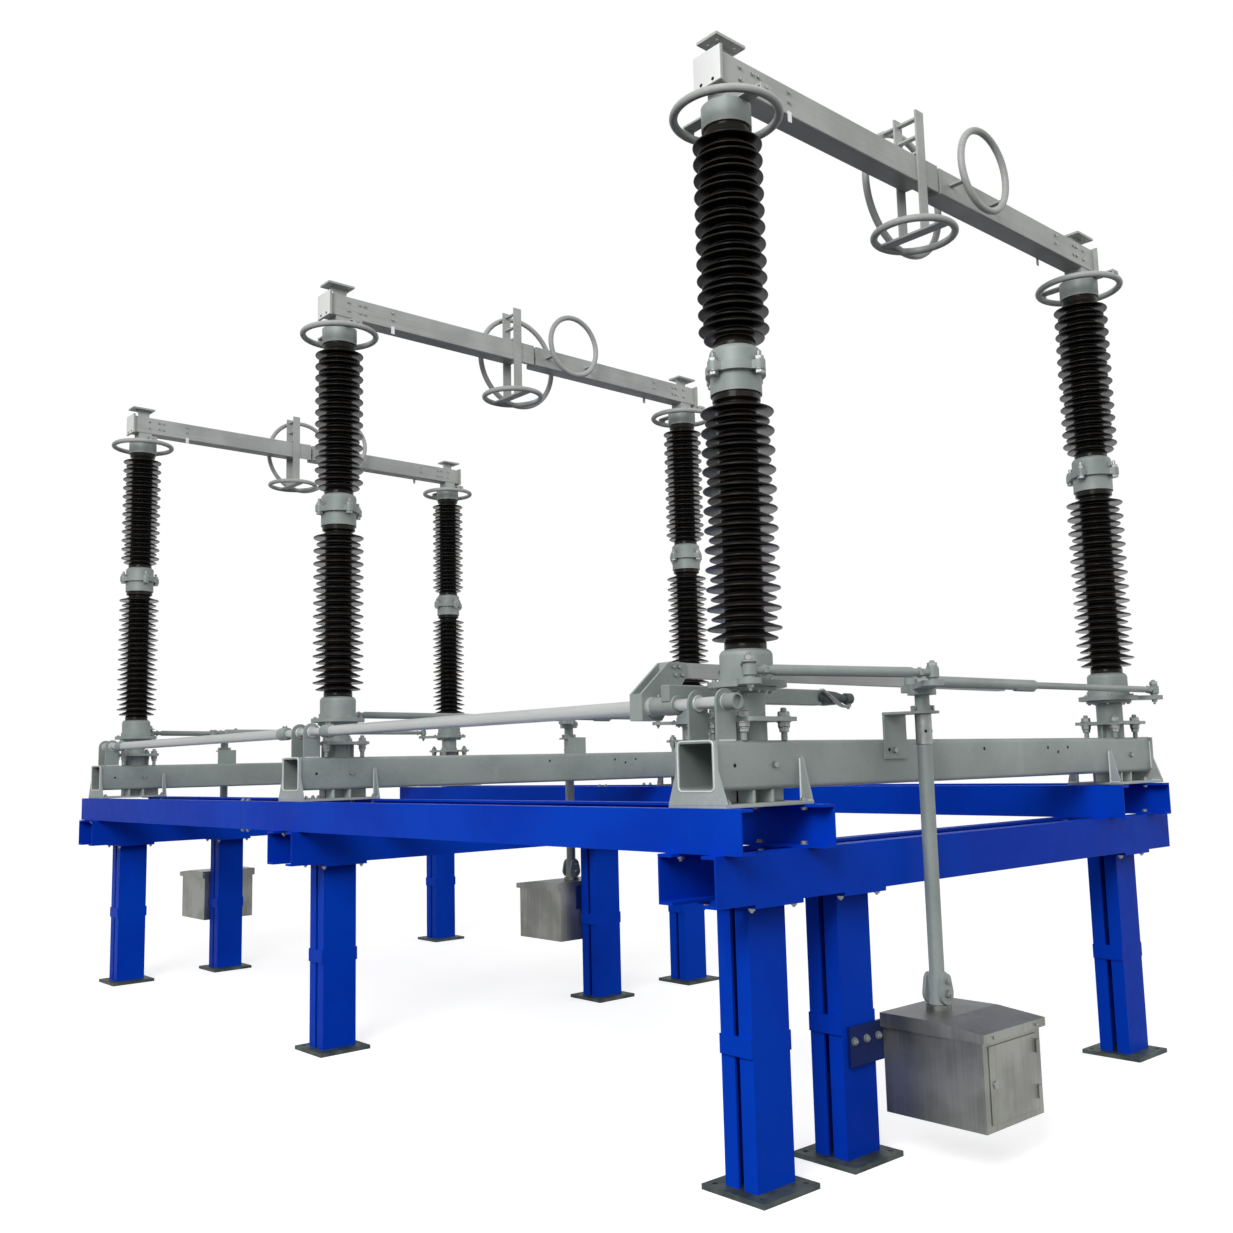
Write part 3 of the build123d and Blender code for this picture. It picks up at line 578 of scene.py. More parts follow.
# Fasteners of the frame
studNuts = {"size": 0.024, "reachX": 0.113, "reachY": 0.078, "low": 0.070, "high": 0.086, "stud": 0.014,
            "lockSize": 0.0195, "lockLow": 0.048}
flangeBolts = {"reach": 0.097, "size": 0.008, "count": 8, "level": 0.184}
saddleBolts = {"size": 0.013, "stud": 0.008, "reachY": 0.120, "places": (-1.643, -1.226, 1.565),
               "plate": 0.012, "flange": 0.0105}
railBolts = {"size": 0.014, "stud": 0.008, "inset": 0.040, "reachY": 0.110, "railLip": 0.0105,
             "crossLip": 0.011}
tubeBolts = {"size": 0.013, "places": (-1.350, 1.486), "half": 0.090, "drop": 0.09}
bracketBolts = {"size": 0.013, "face": 0.100, "back": 0.045, "drop": 0.045}
legBolts = {"size": 0.012, "stud": 0.006, "reachX": 0.115, "reachY": 0.110, "level": 1.005,
            "places": {1: 0.480, 2: 1.950, 3: 0.740}, "ends": (-0.024, 2.755)}
spliceBolts = {"size": 0.013, "stud": 0.006, "y": 0.59, "apart": 0.035, "inset": 0.033}
plateBolts = {"size": 0.014, "stud": 0.006, "places": (-0.045, 0.03, 0.105), "face": 0.0895, "level": 0.450}
columnA, columnB = (column["axis"][0] for column in columns[:2])
rails = [[corner.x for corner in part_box(name)] for name in ("rail_front", "rail_rear")]
railLow, railHigh = (corner.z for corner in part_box("rail_front"))
poleY = {pole: axes[f"pole_{pole}_opening"][1] for pole in poles}
sides = {pole: np.sign(axes[f"shaft_{pole}_turn"][1] - poleY[pole]) for pole in poles}


def bearingBolts(column):
    # levelling studs with nuts over and under their plate, and the ring of bolts under the housing's flange
    s, f, axis = studNuts, flangeBolts, column["axis"][:2]
    studs = np.array([(x * s["reachX"], y * s["reachY"]) for x in signs for y in signs]) + axis
    ring = ringOf(f["count"], f["reach"], 0.5) + axis
    return joined(boltsAt(lifted(studs, deck + s["high"]), (0, 0, 1), s["size"], s["stud"]),
                  boltsAt(lifted(studs, deck + s["low"]), (0, 0, -1), s["size"]),
                  boltsAt(lifted(studs, deck + s["lockLow"]), (0, 0, -1), s["lockSize"]),
                  boltsAt(lifted(ring, deck + f["level"]), (0, 0, -1), f["size"]))


def poleBolts(pole):
    # saddles to rails, rails to cross beams, then the tube's, the shaft bracket's and those under the beams
    y, shaft = poleY[pole], axes[f"shaft_{pole}_turn"]
    s = saddleBolts
    spots = [(x, y + side * s["reachY"]) for x in s["places"] for side in signs]
    shapes = [boltsAt(lifted(spots, railHigh + s["plate"]), (0, 0, 1), s["size"], s["stud"]),
              boltsAt(lifted(spots, railHigh - s["flange"]), (0, 0, -1), s["size"])]
    s = railBolts
    spots = [(x, y + side * s["reachY"]) for low, high in rails
             for x in (low + s["inset"], high - s["inset"]) for side in signs]
    shapes.append(boltsAt(lifted(spots, railLow + s["railLip"]), (0, 0, 1), s["size"]))
    shapes.append(boltsAt(lifted(spots, railLow - s["crossLip"]), (0, 0, -1), s["size"], s["stud"]))
    s = tubeBolts
    for side in signs:
        spots = [(x, y + side * s["half"], deck - s["drop"]) for x in s["places"]]
        shapes.append(boltsAt(spots, (0, side, 0), s["size"]))
    s = bracketBolts
    spot = (shaft[0] - s["back"], y + sides[pole] * s["face"], deck - s["drop"])
    shapes.append(boltsAt(spot, (0, sides[pole], 0), s["size"]))
    s = legBolts
    spots = [(columnA + x + dx * s["reachX"], y + dy * s["reachY"])
             for x in (s["places"][pole], *s["ends"]) for dx in signs for dy in signs]
    shapes.append(boltsAt(lifted(spots, s["level"]), (0, 0, -1), s["size"], s["stud"]))
    return joined(*shapes)


def frameBolts():
    shapes = [bearingBolts(column) for column in columns] + [poleBolts(pole) for pole in poles]
    s = spliceBolts
    for low, high in rails:
        spots = [(x, s["y"] + side * s["apart"])
                 for x in (low + s["inset"], high - s["inset"]) for side in signs]
        for level, way in ((railHigh, 1), (railLow, -1)):
            shapes.append(boltsAt(lifted(spots, level), (0, 0, way), s["size"], s["stud"]))
    s = plateBolts
    spots = [(columnA + legBolts["places"][1] + x, poleY[1] + sides[1] * s["face"], s["level"])
             for x in s["places"]]
    shapes.append(boltsAt(spots, (0, sides[1], 0), s["size"], s["stud"]))
    return joined(*shapes)


piece("frame_bolts", frameBolts(), "frame", boltFinish)

# Base tubes and saddles: an open tube through a flared end plate, a foot plate with pads, and gussets
saddle = {"side": 0.180, "corner": 0.018, "wall": 0.008, "length": 0.480, "half": 0.145, "collar": 0.012,
          "plate": 0.012, "waistShare": 0.2, "mouthFit": 0.002, "gusset": 0.010, "gussetFoot": 0.140,
          "gussetLip": 0.012, "gussetTip": 0.102, "tipShare": 0.65, "edge": 0.0015,
          "pads": ((0.215, 0.229, 0.078), (0.318, 0.332, 0.078)), "web": (0.215, 0.468, 0.006),
          "holes": (("near", 0.110, 0.0), ("a", 1.468, 0.045), ("b", -0.733, 0.023), ("b", -0.828, 0.045),
                    ("b", -0.638, 0.045))}
tubeEnds = [corner.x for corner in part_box("base_beam_1")]


def shell(outer, inner, start, end):
    # a wall between two (y, z) outlines, carried along X, with its end faces
    rows = ((outer, start), (outer, end), (inner, end), (inner, start), (outer, start))
    points = [np.column_stack([np.full(len(outline), x), outline]) for outline, x in rows]
    return np.concatenate(points), gridFaces(len(rows), len(outer))


def reachTo(outline, angles):
    # where rays from the origin at these angles meet a closed outline that goes round it once
    outline = np.vstack([outline, outline[:1]])
    heading = np.unwrap(np.arctan2(outline[:, 1], outline[:, 0]))
    turns = heading[0] + (angles - heading[0]) % (2 * pi)
    spots = np.searchsorted(heading, turns, side="right").clip(1, len(heading) - 1)
    start, across = outline[spots - 1], outline[spots] - outline[spots - 1]
    way = np.column_stack([np.cos(angles), np.sin(angles)])
    share = (start[:, 0] * across[:, 1] - start[:, 1] * across[:, 0]) / (
        way[:, 0] * across[:, 1] - way[:, 1] * across[:, 0])
    return way * share[:, None]


def slab(outline, start, end, edge):
    # a (y, z) outline with thickness along X
    points, faces = prism(outline, *sorted((start, end)), edge)
    return points[:, [2, 0, 1]], faces


def saddleShapes(x, run, y):
    s = saddle
    half = s["side"] / 2
    level, foot, under = deck - half, railHigh + s["plate"], deck - s["side"]
    wide, waist = half + s["collar"], -s["waistShare"] * half
    flare = np.array([(-s["half"], foot - level), (s["half"], foot - level), (wide, waist), (wide, half),
                      (-wide, half), (-wide, waist)])
    mouth = roundedBox(s["side"] - s["mouthFit"], s["side"] - s["mouthFit"], s["corner"])
    angles = np.sort(np.concatenate([np.arctan2(ring[:, 1], ring[:, 0]) for ring in (flare, mouth)]))
    ends = sorted((x, x + run * s["plate"]))
    shapes = [shell(reachTo(flare, angles) + (y, level), reachTo(mouth, angles) + (y, level), *ends),
              block((x, y - s["half"], railHigh), (x + run * s["length"], y + s["half"], foot), s["edge"])]
    for near, far, wide in (*s["pads"], s["web"]):
        shapes.append(block((x + run * near, y - wide, foot), (x + run * far, y + wide, under), s["edge"]))
    tip = under + s["side"] * s["tipShare"]
    gusset = [(half, foot), (s["gussetFoot"], foot), (s["gussetFoot"], foot + s["gussetLip"]),
              (s["gussetTip"], tip), (half, tip)]
    for side in signs:
        outline = (np.array(gusset) * (side, 1) + (y, 0))[::side]
        shapes.append(slab(outline, x + run * (s["length"] - s["gusset"]), x + run * s["length"], s["edge"]))
    return joined(*shapes)


def baseShape(pole):
    s, y = saddle, poleY[pole]
    place = (y, deck - s["side"] / 2)
    outer = roundedBox(s["side"], s["side"], s["corner"]) + place
    inner = roundedBox(s["side"] - 2 * s["wall"], s["side"] - 2 * s["wall"], s["corner"] - s["wall"]) + place
    return shell(outer, inner, *tubeEnds)


def saddlesOf(pole):
    return joined(*(saddleShapes(x, run, poleY[pole]) for x, run in zip(tubeEnds, (1, -1))))


def baseHoles(pole):
    s, y = saddle, poleY[pole]
    starts = {"near": tubeEnds[0], "a": columnA, "b": columnB}
    middle = deck - s["side"] / 2
    spots = np.array([(starts[key] + along, y, middle + rise) for key, along, rise in s["holes"]])
    return joined(*(copies(holeDisc(), spots + (0, side * s["side"] / 2, 0), (0, side, 0)) for side in signs))


for pole in poles:
    look = piece(f"base_{pole}", baseShape(pole), "frame", finishes["galvanised"])
    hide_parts(f"base_beam_{pole}")
    piece(f"saddles_{pole}", saddlesOf(pole), "frame", saddleFinish)
piece("base_holes", joined(*(baseHoles(pole) for pole in poles)), "frame", shadeFinish)

# Welds: behind the saddles' end plates, on the gussets, round the tubes' mouths and at the earthing plates
welds = {"foot": 0.138, "tip": 0.1116, "mouth": 0.0035, "mouthSteps": 9, "bearX": 0.044, "bearY": 0.070,
         "bearThick": 0.005}
earthAxis = axes["earth_switch_swing"]


def saddleWelds(x, run, y):
    s, w, half = saddle, welds, saddle["side"] / 2
    top, low = railHigh + s["plate"], deck - s["side"]
    inner = x + run * s["plate"]
    shapes = [bead((inner, y - half + s["corner"], low), (inner, y + half - s["corner"], low))]
    for side in signs:
        edge, foot = y + side * half, y + side * w["foot"]
        shapes.append(bead((inner, edge, low + s["corner"]), (inner, edge, deck - s["corner"])))
        shapes.append(bead((inner, edge, top), (inner, foot, top)))
        for face in (s["length"], s["length"] - s["gusset"]):
            gusset = x + run * face
            shapes.append(bead((gusset, edge, top), (gusset, edge, low + w["tip"])))
            shapes.append(bead((gusset, edge, top), (gusset, foot, top)))
    return joined(*shapes)


def mouthWeld(x, y):
    # a ring of the bead's round section, carried round the tube's rounded square mouth
    s, w = saddle, welds
    rows = []
    for turn in np.linspace(0, 2 * pi, w["mouthSteps"]):
        out = w["mouth"] * np.cos(turn)
        outline = roundedBox(s["side"] + 2 * out, s["side"] + 2 * out, s["corner"] + out)
        rows.append(np.column_stack([np.full(len(outline), x + w["mouth"] * np.sin(turn)),
                                     outline + (y, deck - s["side"] / 2)]))
    return np.concatenate(rows), gridFaces(len(rows), len(rows[0]))


def allWelds():
    w, x = welds, earthAxis[0]
    shapes = [saddleWelds(end, run, poleY[pole]) for pole in poles for end, run in zip(tubeEnds, (1, -1))]
    for pole in poles:
        shapes += [mouthWeld(end, poleY[pole]) for end in tubeEnds]
        for side in signs:
            for face in signs:
                y = poleY[pole] + side * w["bearY"] + face * w["bearThick"]
                shapes.append(bead((x - w["bearX"], y, deck), (x + w["bearX"], y, deck)))
    return joined(*shapes)


# the beads' pale colour is a painted highlight along each weld
piece("welds", allWelds(), "frame", weldAndHighlightFinish, sharp=60)

# Seam of the rails' splice, and the hole beside each bracket's bolt
seam = {"half": 0.0015, "proud": 0.0006, "edge": 0.0002, "inset": 0.002, "back": 0.080, "drop": 0.042}


def railSeams():
    s, y = seam, spliceBolts["y"]
    shapes = []
    for low, high in rails:
        for x, side in ((low, -1), (high, 1)):
            shapes.append(block((x, y - s["half"], railLow + s["inset"]),
                                (x + side * s["proud"], y + s["half"], railHigh - s["inset"]), s["edge"]))
    return joined(*shapes)


def bracketHoles():
    s = seam
    shapes = []
    for pole in poles:
        shaft = axes[f"shaft_{pole}_turn"]
        spot = (shaft[0] - s["back"], poleY[pole] + sides[pole] * bracketBolts["face"], deck - s["drop"])
        shapes.append(copies(holeDisc(), spot, (0, sides[pole], 0)))
    return joined(*shapes)


piece("rail_seams", railSeams(), "frame", finishes["box_bracket"])
piece("bracket_holes", bracketHoles(), "frame", shadeFinish)
print("frame dressed")

# Drive: bolts through the coupling's cheeks, screws in the collar, nuts on the crank, a sleeve under it
drive = {"cheekFace": 0.045, "lowBolt": 0.042, "highBolt": 0.089, "lowSize": 0.016, "highSize": 0.011,
         "stud": 0.006, "collar": 0.048, "collarLift": 0.1215, "screw": 0.007, "hubNut": 0.026,
         "hubStud": 0.012, "pinRise": 0.0516, "pinNut": 0.020, "pinStud": 0.008, "sleeve": 0.0335,
         "sleeveLow": -0.025, "sleeveHigh": 0.098, "sleeveSides": 28, "sleeveEdge": 0.002,
         "grub": 0.006, "grubDeep": 0.002, "grubRise": 0.028, "grubTurns": (-2.3, -0.9)}


def crankPins(pole):
    # the crank's two ends: the first carries rod A, the second rod B
    shaft = axes[f"shaft_{pole}_turn"]
    reach = (axes[f"rod_a{pole}_pivot"] - axes[f"pole_{pole}_opening"])[:2]
    return shaft[:2] + reach, shaft[:2] - reach


def boltsOfShaft(pole):
    d = drive
    x, y, _ = axes[f"shaft_{pole}_turn"]
    bottom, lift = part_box(f"drive_shaft_{pole}")[0].z, deck + d["collarLift"]
    shapes = []
    for side in signs:
        for rise, size in ((d["lowBolt"], d["lowSize"]), (d["highBolt"], d["highSize"])):
            spot = (x, y + side * d["cheekFace"], bottom + rise)
            shapes.append(boltsAt(spot, (0, side, 0), size, d["stud"]))
        shapes.append(boltsAt((x + side * d["collar"], y, lift), (side, 0, 0), d["screw"]))
        shapes.append(boltsAt((x, y + side * d["collar"], lift), (0, side, 0), d["screw"]))
    shapes.append(boltsAt((x, y, leverTop), (0, 0, 1), d["hubNut"], d["hubStud"]))
    pin = (*crankPins(pole)[0], leverTop + d["pinRise"])
    shapes.append(boltsAt(pin, (0, 0, 1), d["pinNut"], d["pinStud"]))
    ends = ((x, y, deck + d[end]) for end in ("sleeveLow", "sleeveHigh"))
    shapes.append(sleeve(*ends, d["sleeve"], d["sleeveSides"], d["sleeveEdge"]))
    return joined(*shapes)


def grubScrews(pole):
    # screw heads in the sleeve, on the side away from the tube, drawn as dark discs in the holes' painted shade
    d = drive
    place = axes[f"shaft_{pole}_turn"] * (1, 1, 0) + (0, 0, deck + d["grubRise"])
    shapes = []
    for turn in d["grubTurns"]:
        way = np.array((np.cos(turn), -sides[pole] * np.sin(turn), 0))
        spot = place + (d["sleeve"] - d["grubDeep"] / 2) * way
        shapes.append(copies(holeDisc(d["grub"], d["grubDeep"]), spot, way))
    return joined(*shapes)


# Link rods: an eye, a slim neck with a lock nut and a tube; the long rod steps down over a clamp
rod = {"eye": 0.0255, "eyeHalf": 0.021, "eyeSides": 28, "neck": 0.0155, "tubeStart": 0.095, "cone": 0.012,
       "slim": 0.0205, "thick": 0.0255, "thin": 0.0165, "sides": 24, "nut": 0.021, "nutEnds": (0.056, 0.074),
       "edge": 0.003, "level": 0.030, "step": 0.45, "slope": 0.03, "clamp": 0.019, "clampLength": 0.15,
       "clampDrop": 0.0125, "clampSides": 20}


def rodShape(start, end, stepped):
    r = rod
    start, end = (np.array((*place, leverTop + r["level"])) for place in (start, end))
    length = np.linalg.norm(end - start)
    ahead = (end - start) / length
    middle = r["step"] * length
    first, last = (r["thick"], r["thin"]) if stepped else (r["slim"], r["slim"])
    tube = r["tubeStart"]
    profile = [(0, 0), (r["neck"], 0), (r["neck"], tube), (first, tube + r["cone"])]
    if stepped:
        profile += [(first, middle), (last, middle + r["slope"])]
    profile += [(last, length - tube - r["cone"]), (r["neck"], length - tube), (r["neck"], length),
                (0, length)]
    shapes = [copies(lathe(profile, r["sides"]), start, ahead)]
    if stepped:
        drop = (0, 0, r["clampDrop"])
        ends = (start + along * ahead - drop for along in (middle - r["clampLength"], middle))
        shapes.append(sleeve(*ends, r["clamp"], r["clampSides"], r["edge"]))
    rise = np.array((0, 0, r["eyeHalf"]))
    for place, way in ((start, ahead), (end, -ahead)):
        shapes.append(sleeve(place - rise, place + rise, r["eye"], r["eyeSides"], r["edge"]))
        ends = (place + along * way for along in r["nutEnds"])
        shapes.append(sleeve(*ends, r["nut"], headSides, r["edge"]))
    return joined(*shapes)


for pole in poles:
    near, far = crankPins(pole)
    piece(f"shaft_bolts_{pole}", boltsOfShaft(pole), f"shaft_{pole}", boltFinish)
    piece(f"shaft_screws_{pole}", grubScrews(pole), f"shaft_{pole}", shadeFinish)
    rodA = rodShape(axes[f"rod_a{pole}_pivot"][:2], near, False)
    rodB = rodShape(far, axes[f"rod_b{pole}_pivot"][:2], True)
    for name, shape in ((f"a{pole}", rodA), (f"b{pole}", rodB)):
        look = piece(f"rod_{name}", shape, f"rod_{name}", finishes["galvanised"])
        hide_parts(f"link_rod_{name}")

# Drive boxes: a door with hinges and a lock on the face away from the leg, screws in the lid's skirt
door = {"half": 0.165, "top": 0.045, "bottom": 0.325, "thick": 0.004, "edge": 0.0015, "depth": 0.5295,
        "boxDrop": 0.0465, "hinge": 0.009, "hingeX": 0.172, "hingeLength": 0.05, "hinges": (0.095, 0.265),
        "hingeSides": 12, "hingeEdge": 0.001, "lock": 0.014, "lockX": -0.135, "lockDrop": 0.185,
        "lockRim": 0.006, "lockFace": 0.008, "lockShare": 0.8, "lockSides": 20,
        "skirt": 0.5475, "screw": 0.006, "screws": (-0.15, 0.15), "screwDrop": 0.012}


def boxTrim():
    d = door
    lock = lathe([(0, 0), (d["lock"], 0), (d["lock"], d["lockRim"]),
                  (d["lock"] * d["lockShare"], d["lockFace"]), (0, d["lockFace"])], d["lockSides"])
    reach = np.array((0, 0, d["hingeLength"] / 2))
    plates, screws = [], []
    for pole in poles:
        x, side = axes[f"shaft_{pole}_turn"][0], sides[pole]
        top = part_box(f"drive_shaft_{pole}")[0].z - d["boxDrop"]
        face, skirt = poleY[pole] + side * d["depth"], poleY[pole] + side * d["skirt"]
        out = face + side * d["thick"]
        corners = (x - d["half"], face, top - d["bottom"]), (x + d["half"], out, top - d["top"])
        plates.append(block(*corners, d["edge"]))
        for drop in d["hinges"]:
            middle = np.array((x + d["hingeX"], out, top - drop))
            plates.append(sleeve(middle - reach, middle + reach, d["hinge"], d["hingeSides"], d["hingeEdge"]))
        screws.append(copies(lock, (x + d["lockX"], out, top - d["lockDrop"]), (0, side, 0)))
        spots = [(x + dx, skirt, top - d["screwDrop"]) for dx in d["screws"]]
        screws.append(boltsAt(spots, (0, side, 0), d["screw"]))
    return joined(*plates), joined(*screws)


doorShape, screwShape = boxTrim()
piece("box_doors", doorShape, "frame", finishes["box_sheet"])
piece("box_screws", screwShape, "frame", boltFinish)
print("drives dressed")

# Earthing switch: shaft in slim tubes with clamp sleeves, its open end, and a second lever with a braid
earth = {"journal": 0.0225, "tube": 0.029, "tubeInset": 0.25, "end": 0.120, "arm": 0.350, "bush": 0.0385,
         "bushHalf": 0.055, "sides": 28, "edge": 0.004,
         "bearing": 0.032, "bearingHalf": 0.012, "bearingSides": 24, "bearingEdge": 0.002, "plateY": 0.070,
         "sleeve": 0.036, "sleeveLength": 0.085, "inset": 0.215,
         "bolt": 0.008, "boltReach": 0.036, "boltShares": (0.3, 0.7), "boltStud": 0.004,
         "collar": 0.031, "bore": 0.0228, "boreDeep": 0.012, "rim": 0.002, "collarStart": -0.134,
         "collarLength": 0.055,
         "leverY": 0.200, "leverHalf": 0.024, "leverLow": 0.012, "leverHigh": 0.078, "leverStart": -0.04,
         "leverEnd": 0.86, "hub": 0.038, "hubHalf": 0.03,
         "armFace": 0.035, "armBolts": ((0.120, 0.162), (0.152, 0.162), (0.130, 0.130), (0.168, 0.130)),
         "bladeFace": 0.023, "bladeBolts": ((0.400, 0.150), (0.425, 0.150)), "armBolt": 0.0085}
leverY = poleY[1] + earth["leverY"]


def fromShaft(along, y, rise):
    # a place told from the earthing shaft's axis
    return np.array((earthAxis[0] + along, y, earthAxis[2] + rise))


def earthShaft():
    # one lathe along Y: journals by the poles, wider tubes between them, and a bush where the arm grips
    e = earth
    low, high, arm = poleY[1] - e["end"], poleY[3] + e["end"], poleY[1] + e["arm"]
    profile = [(0, low), (e["journal"], low)]
    for pole in poles[:-1]:
        first, last = poleY[pole] + e["tubeInset"], poleY[pole + 1] - e["tubeInset"]
        profile += [(e["journal"], first), (e["tube"], first)]
        if pole == 1:
            profile += [(e["tube"], arm - e["bushHalf"]), (e["bush"], arm - e["bushHalf"]),
                        (e["bush"], arm + e["bushHalf"]), (e["tube"], arm + e["bushHalf"])]
        profile += [(e["tube"], last), (e["journal"], last)]
    profile += [(e["journal"], high), (0, high)]
    shapes = [copies(lathe(profile, e["sides"]), fromShaft(0, 0, 0), (0, 1, 0))]
    half = np.array((0, e["bearingHalf"], 0))
    for pole in poles:
        for side in signs:
            middle = fromShaft(0, poleY[pole] + side * e["plateY"], 0)
            ends = (middle - half, middle + half)
            shapes.append(sleeve(*ends, e["bearing"], e["bearingSides"], e["bearingEdge"]))
    return joined(*shapes)


def earthSleeves():
    e = earth
    shapes, bolts = [], []
    for pole in poles[:-1]:
        for y, way in ((poleY[pole] + e["inset"], 1), (poleY[pole + 1] - e["inset"], -1)):
            start, run = fromShaft(0, y, 0), np.array((0, way * e["sleeveLength"], 0))
            shapes.append(sleeve(start, start + run, e["sleeve"], e["sides"], e["edge"]))
            spots = [start + share * run + (0, 0, e["boltReach"]) for share in e["boltShares"]]
            bolts.append(boltsAt(spots, (0, 0, 1), e["bolt"], e["boltStud"]))
    hub, half = fromShaft(0, leverY, 0), np.array((0, e["hubHalf"], 0))
    shapes.append(sleeve(hub - half, hub + half, e["hub"], e["sides"], e["edge"]))
    return joined(*shapes), joined(*bolts)


def armBolts():
    # through the arm's cheeks and the blade, on both faces
    e = earth
    shapes = []
    for places, face in ((e["armBolts"], e["armFace"]), (e["bladeBolts"], e["bladeFace"])):
        for side in signs:
            y = poleY[1] + e["arm"] + side * face
            spots = [fromShaft(along, y, rise) for along, rise in places]
            shapes.append(boltsAt(spots, (0, side, 0), e["armBolt"]))
    return joined(*shapes)


def shaftEnd():
    # a short open tube: out along its bore, round the rim and back along the outside
    e = earth
    bore, collar, rim = e["bore"], e["collar"], e["rim"]
    profile = [(0, e["boreDeep"]), (bore, e["boreDeep"]), (bore, 0), (collar - rim, 0), (collar, rim),
               (collar, e["collarLength"]), (bore, e["collarLength"])]
    return copies(lathe(profile, e["sides"]), fromShaft(0, poleY[1] + e["collarStart"], 0), (0, 1, 0))


def earthLever():
    e = earth
    return block(fromShaft(e["leverStart"], leverY - e["leverHalf"], e["leverLow"]),
                 fromShaft(e["leverEnd"], leverY + e["leverHalf"], e["leverHigh"]), e["edge"])


# Tip of the second lever: a dark boot, a knuckle with a bolt, and a flat braid looped under it
tip = {"boot": ((0.84, 0.0), (0.84, 0.030), (0.90, 0.034), (0.98, 0.028), (1.03, 0.017), (1.055, 0.016),
                (1.055, 0.0)),
       "knuckle": ((1.045, 0.0), (1.045, 0.020), (1.05, 0.024), (1.085, 0.024), (1.09, 0.020), (1.09, 0.0)),
       "level": 0.045, "sides": 24, "bolt": 0.014, "boltX": 1.07, "boltDrop": 0.022, "stud": 0.01,
       "braid": ((0.86, -0.026, 0.044), (0.93, -0.034, 0.0), (1.00, -0.020, -0.022), (1.07, 0.0, -0.024)),
       "braidDrop": 0.01, "braidSteps": 40, "braidSides": 16, "wide": 0.015, "thick": 0.006}


def leverTip():
    # two lathes along X, told as places along the lever with their radius
    t = tip
    start = fromShaft(0, leverY, t["level"])
    profiles = [np.array(t[part])[:, ::-1] for part in ("boot", "knuckle")]
    dark = joined(*(copies(lathe(profile, t["sides"]), start, (1, 0, 0)) for profile in profiles))
    return dark, boltsAt(start + (t["boltX"], 0, -t["boltDrop"]), (0, 0, -1), t["bolt"], t["stud"])


def braid():
    # a flat ellipse swept along the cubic through the listed points
    t = tip
    knots = np.array(t["braid"])
    spots = np.arange(len(knots))
    fine = np.linspace(0, spots[-1], t["braidSteps"])
    path = np.column_stack([np.polyval(np.polyfit(spots, knots[:, axis], 3), fine) for axis in range(3)])
    ahead = np.gradient(path, axis=0)
    ahead /= np.linalg.norm(ahead, axis=1)[:, None]
    wide = np.tile((0, t["wide"], 0), (len(path), 1))
    points, faces = sweep(path, wide, t["thick"] * np.cross(ahead, (0, 1, 0)), t["braidSides"])
    return points + fromShaft(0, leverY, t["level"] - t["braidDrop"]), faces


sleeveShape, sleeveBolts = earthSleeves()
tipShape, tipBolt = leverTip()
shaftLook = piece("earth_tube", earthShaft(), "earth_switch", brightFinish)
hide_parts("earth_shaft")
piece("earth_sleeves", sleeveShape, "earth_switch", finishes["casting"])
piece("lever_tip", tipShape, "earth_switch", finishes["foot_steel"])
piece("earth_bolts", joined(sleeveBolts, tipBolt, armBolts()), "earth_switch", boltFinish)
piece("earth_lever", joined(earthLever(), shaftEnd()), "earth_switch", finishes["galvanised"])
piece("earth_braid", braid(), "earth_switch", braidFinish)
print("earthing switch dressed")

# Floor and light
stage = {"floor": 60, "floorSeen": 0.62, "floorGlow": 0.66, "floorBounce": 0.03, "sky": 0.55}


def seenRays(wire):
    # 1 for rays from the camera, and for those that metal and glass send on
    rays = [wire.add("ShaderNodeLightPath", out=ray) for ray in
            ("Is Camera Ray", "Is Glossy Ray", "Is Transmission Ray")]
    return wire.maths("MINIMUM", rays[0] + rays[1] + rays[2], 1)


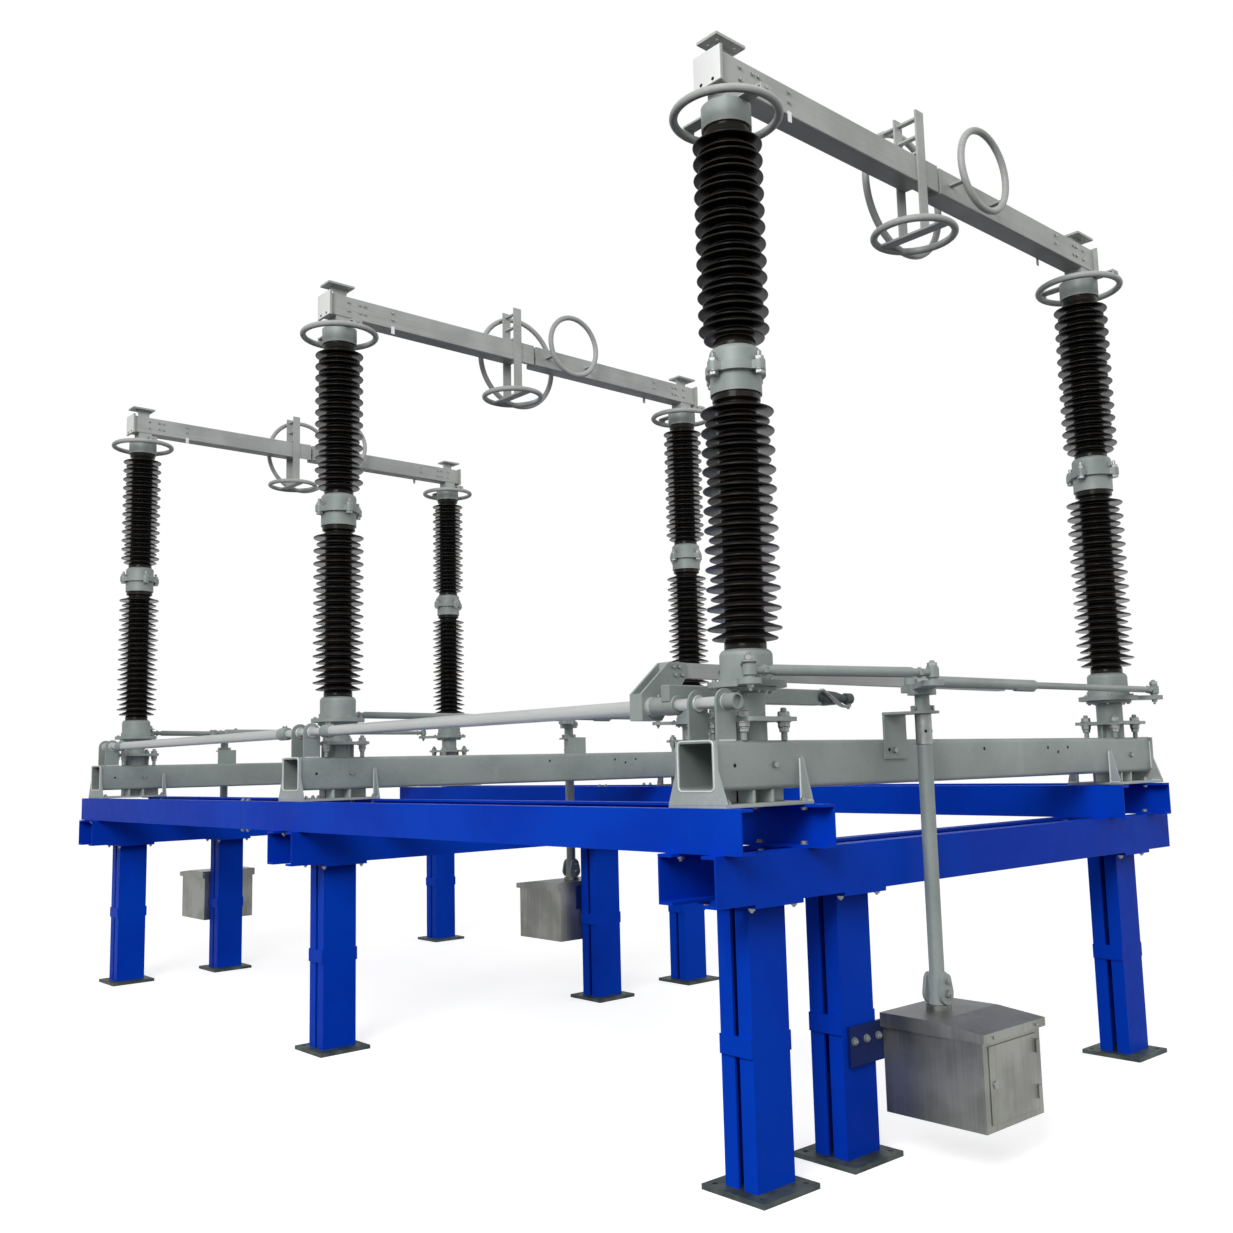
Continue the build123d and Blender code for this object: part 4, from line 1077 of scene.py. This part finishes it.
def paleFloor(wire):
    # white to the camera and in reflections but for the shadow, and a plain grey to the light that bounces
    rays = seenRays(wire)
    return {"Base Color": mixed(wire, rays, (stage["floorBounce"],) * 3, (stage["floorSeen"],) * 3),
            "Emission Color": mixed(wire, rays, (0,) * 3, (stage["floorGlow"],) * 3)}


half = stage["floor"] / 2
floorMesh = bpy.data.meshes.new("floor")
corners = [(-half, -half, 0), (half, -half, 0), (half, half, 0), (-half, half, 0)]
floorMesh.from_pydata(corners, [], [(0, 1, 2, 3)])
floorMesh.materials.append(finish("paleFloor", paleFloor,
                                  {"Roughness": 0.9, "Specular IOR Level": 0, "Emission Strength": 1}))
floor = placed("floor", floorMesh)

world = bpy.data.worlds.new("studio")
bpy.context.scene.world = world
world.use_nodes = True
wire = Wire(world.node_tree)
background = world.node_tree.nodes["Background"]
background.inputs["Color"].default_value = (1, 1, 1, 1)
strength = seenRays(wire) * (1 - stage["sky"]) + stage["sky"]
world.node_tree.links.new(strength.socket, background.inputs["Strength"])

lamps = {"key": {"place": (-10.5, -7.0, 8.5), "aim": (0, -0.5, 2), "size": 6, "watts": 1000},
         "fill": {"place": (9, -9, 6), "aim": (0, 0, 2), "size": 8, "watts": 170}}
for name, lamp in lamps.items():
    light = bpy.data.lights.new(name, "AREA")
    light.energy, light.size = lamp["watts"], lamp["size"]
    holder = placed(name, light)
    holder.location = lamp["place"]
    holder.rotation_euler = (Vector(lamp["aim"]) - Vector(lamp["place"])).to_track_quat("-Z", "Y").to_euler()

# Camera at the photograph's angle: rows are its right, down and forward directions
view = {"place": (-4.7817, -6.2283, 1.5272), "focal": 1204.435, "frame": 1233, "sensor": 36, "clip": 200,
        "right": (0.7484776, -0.6627412, -0.0235665), "down": (0.0628115, 0.1062245, -0.9923563),
        "forward": (0.6601788, 0.7412762, 0.1211344)}
lens = bpy.data.cameras.new("photoCamera")
lens.sensor_width = view["sensor"]
lens.lens = view["sensor"] * view["focal"] / view["frame"]
lens.clip_end = view["clip"]
camera = placed("photoCamera", lens)
turned = Matrix([view["right"], [-x for x in view["down"]], [-x for x in view["forward"]]]).transposed()
camera.matrix_world = Matrix.Translation(view["place"]) @ turned.to_4x4()
bpy.context.scene.camera = camera
bpy.context.scene.view_settings.view_transform = "Standard"
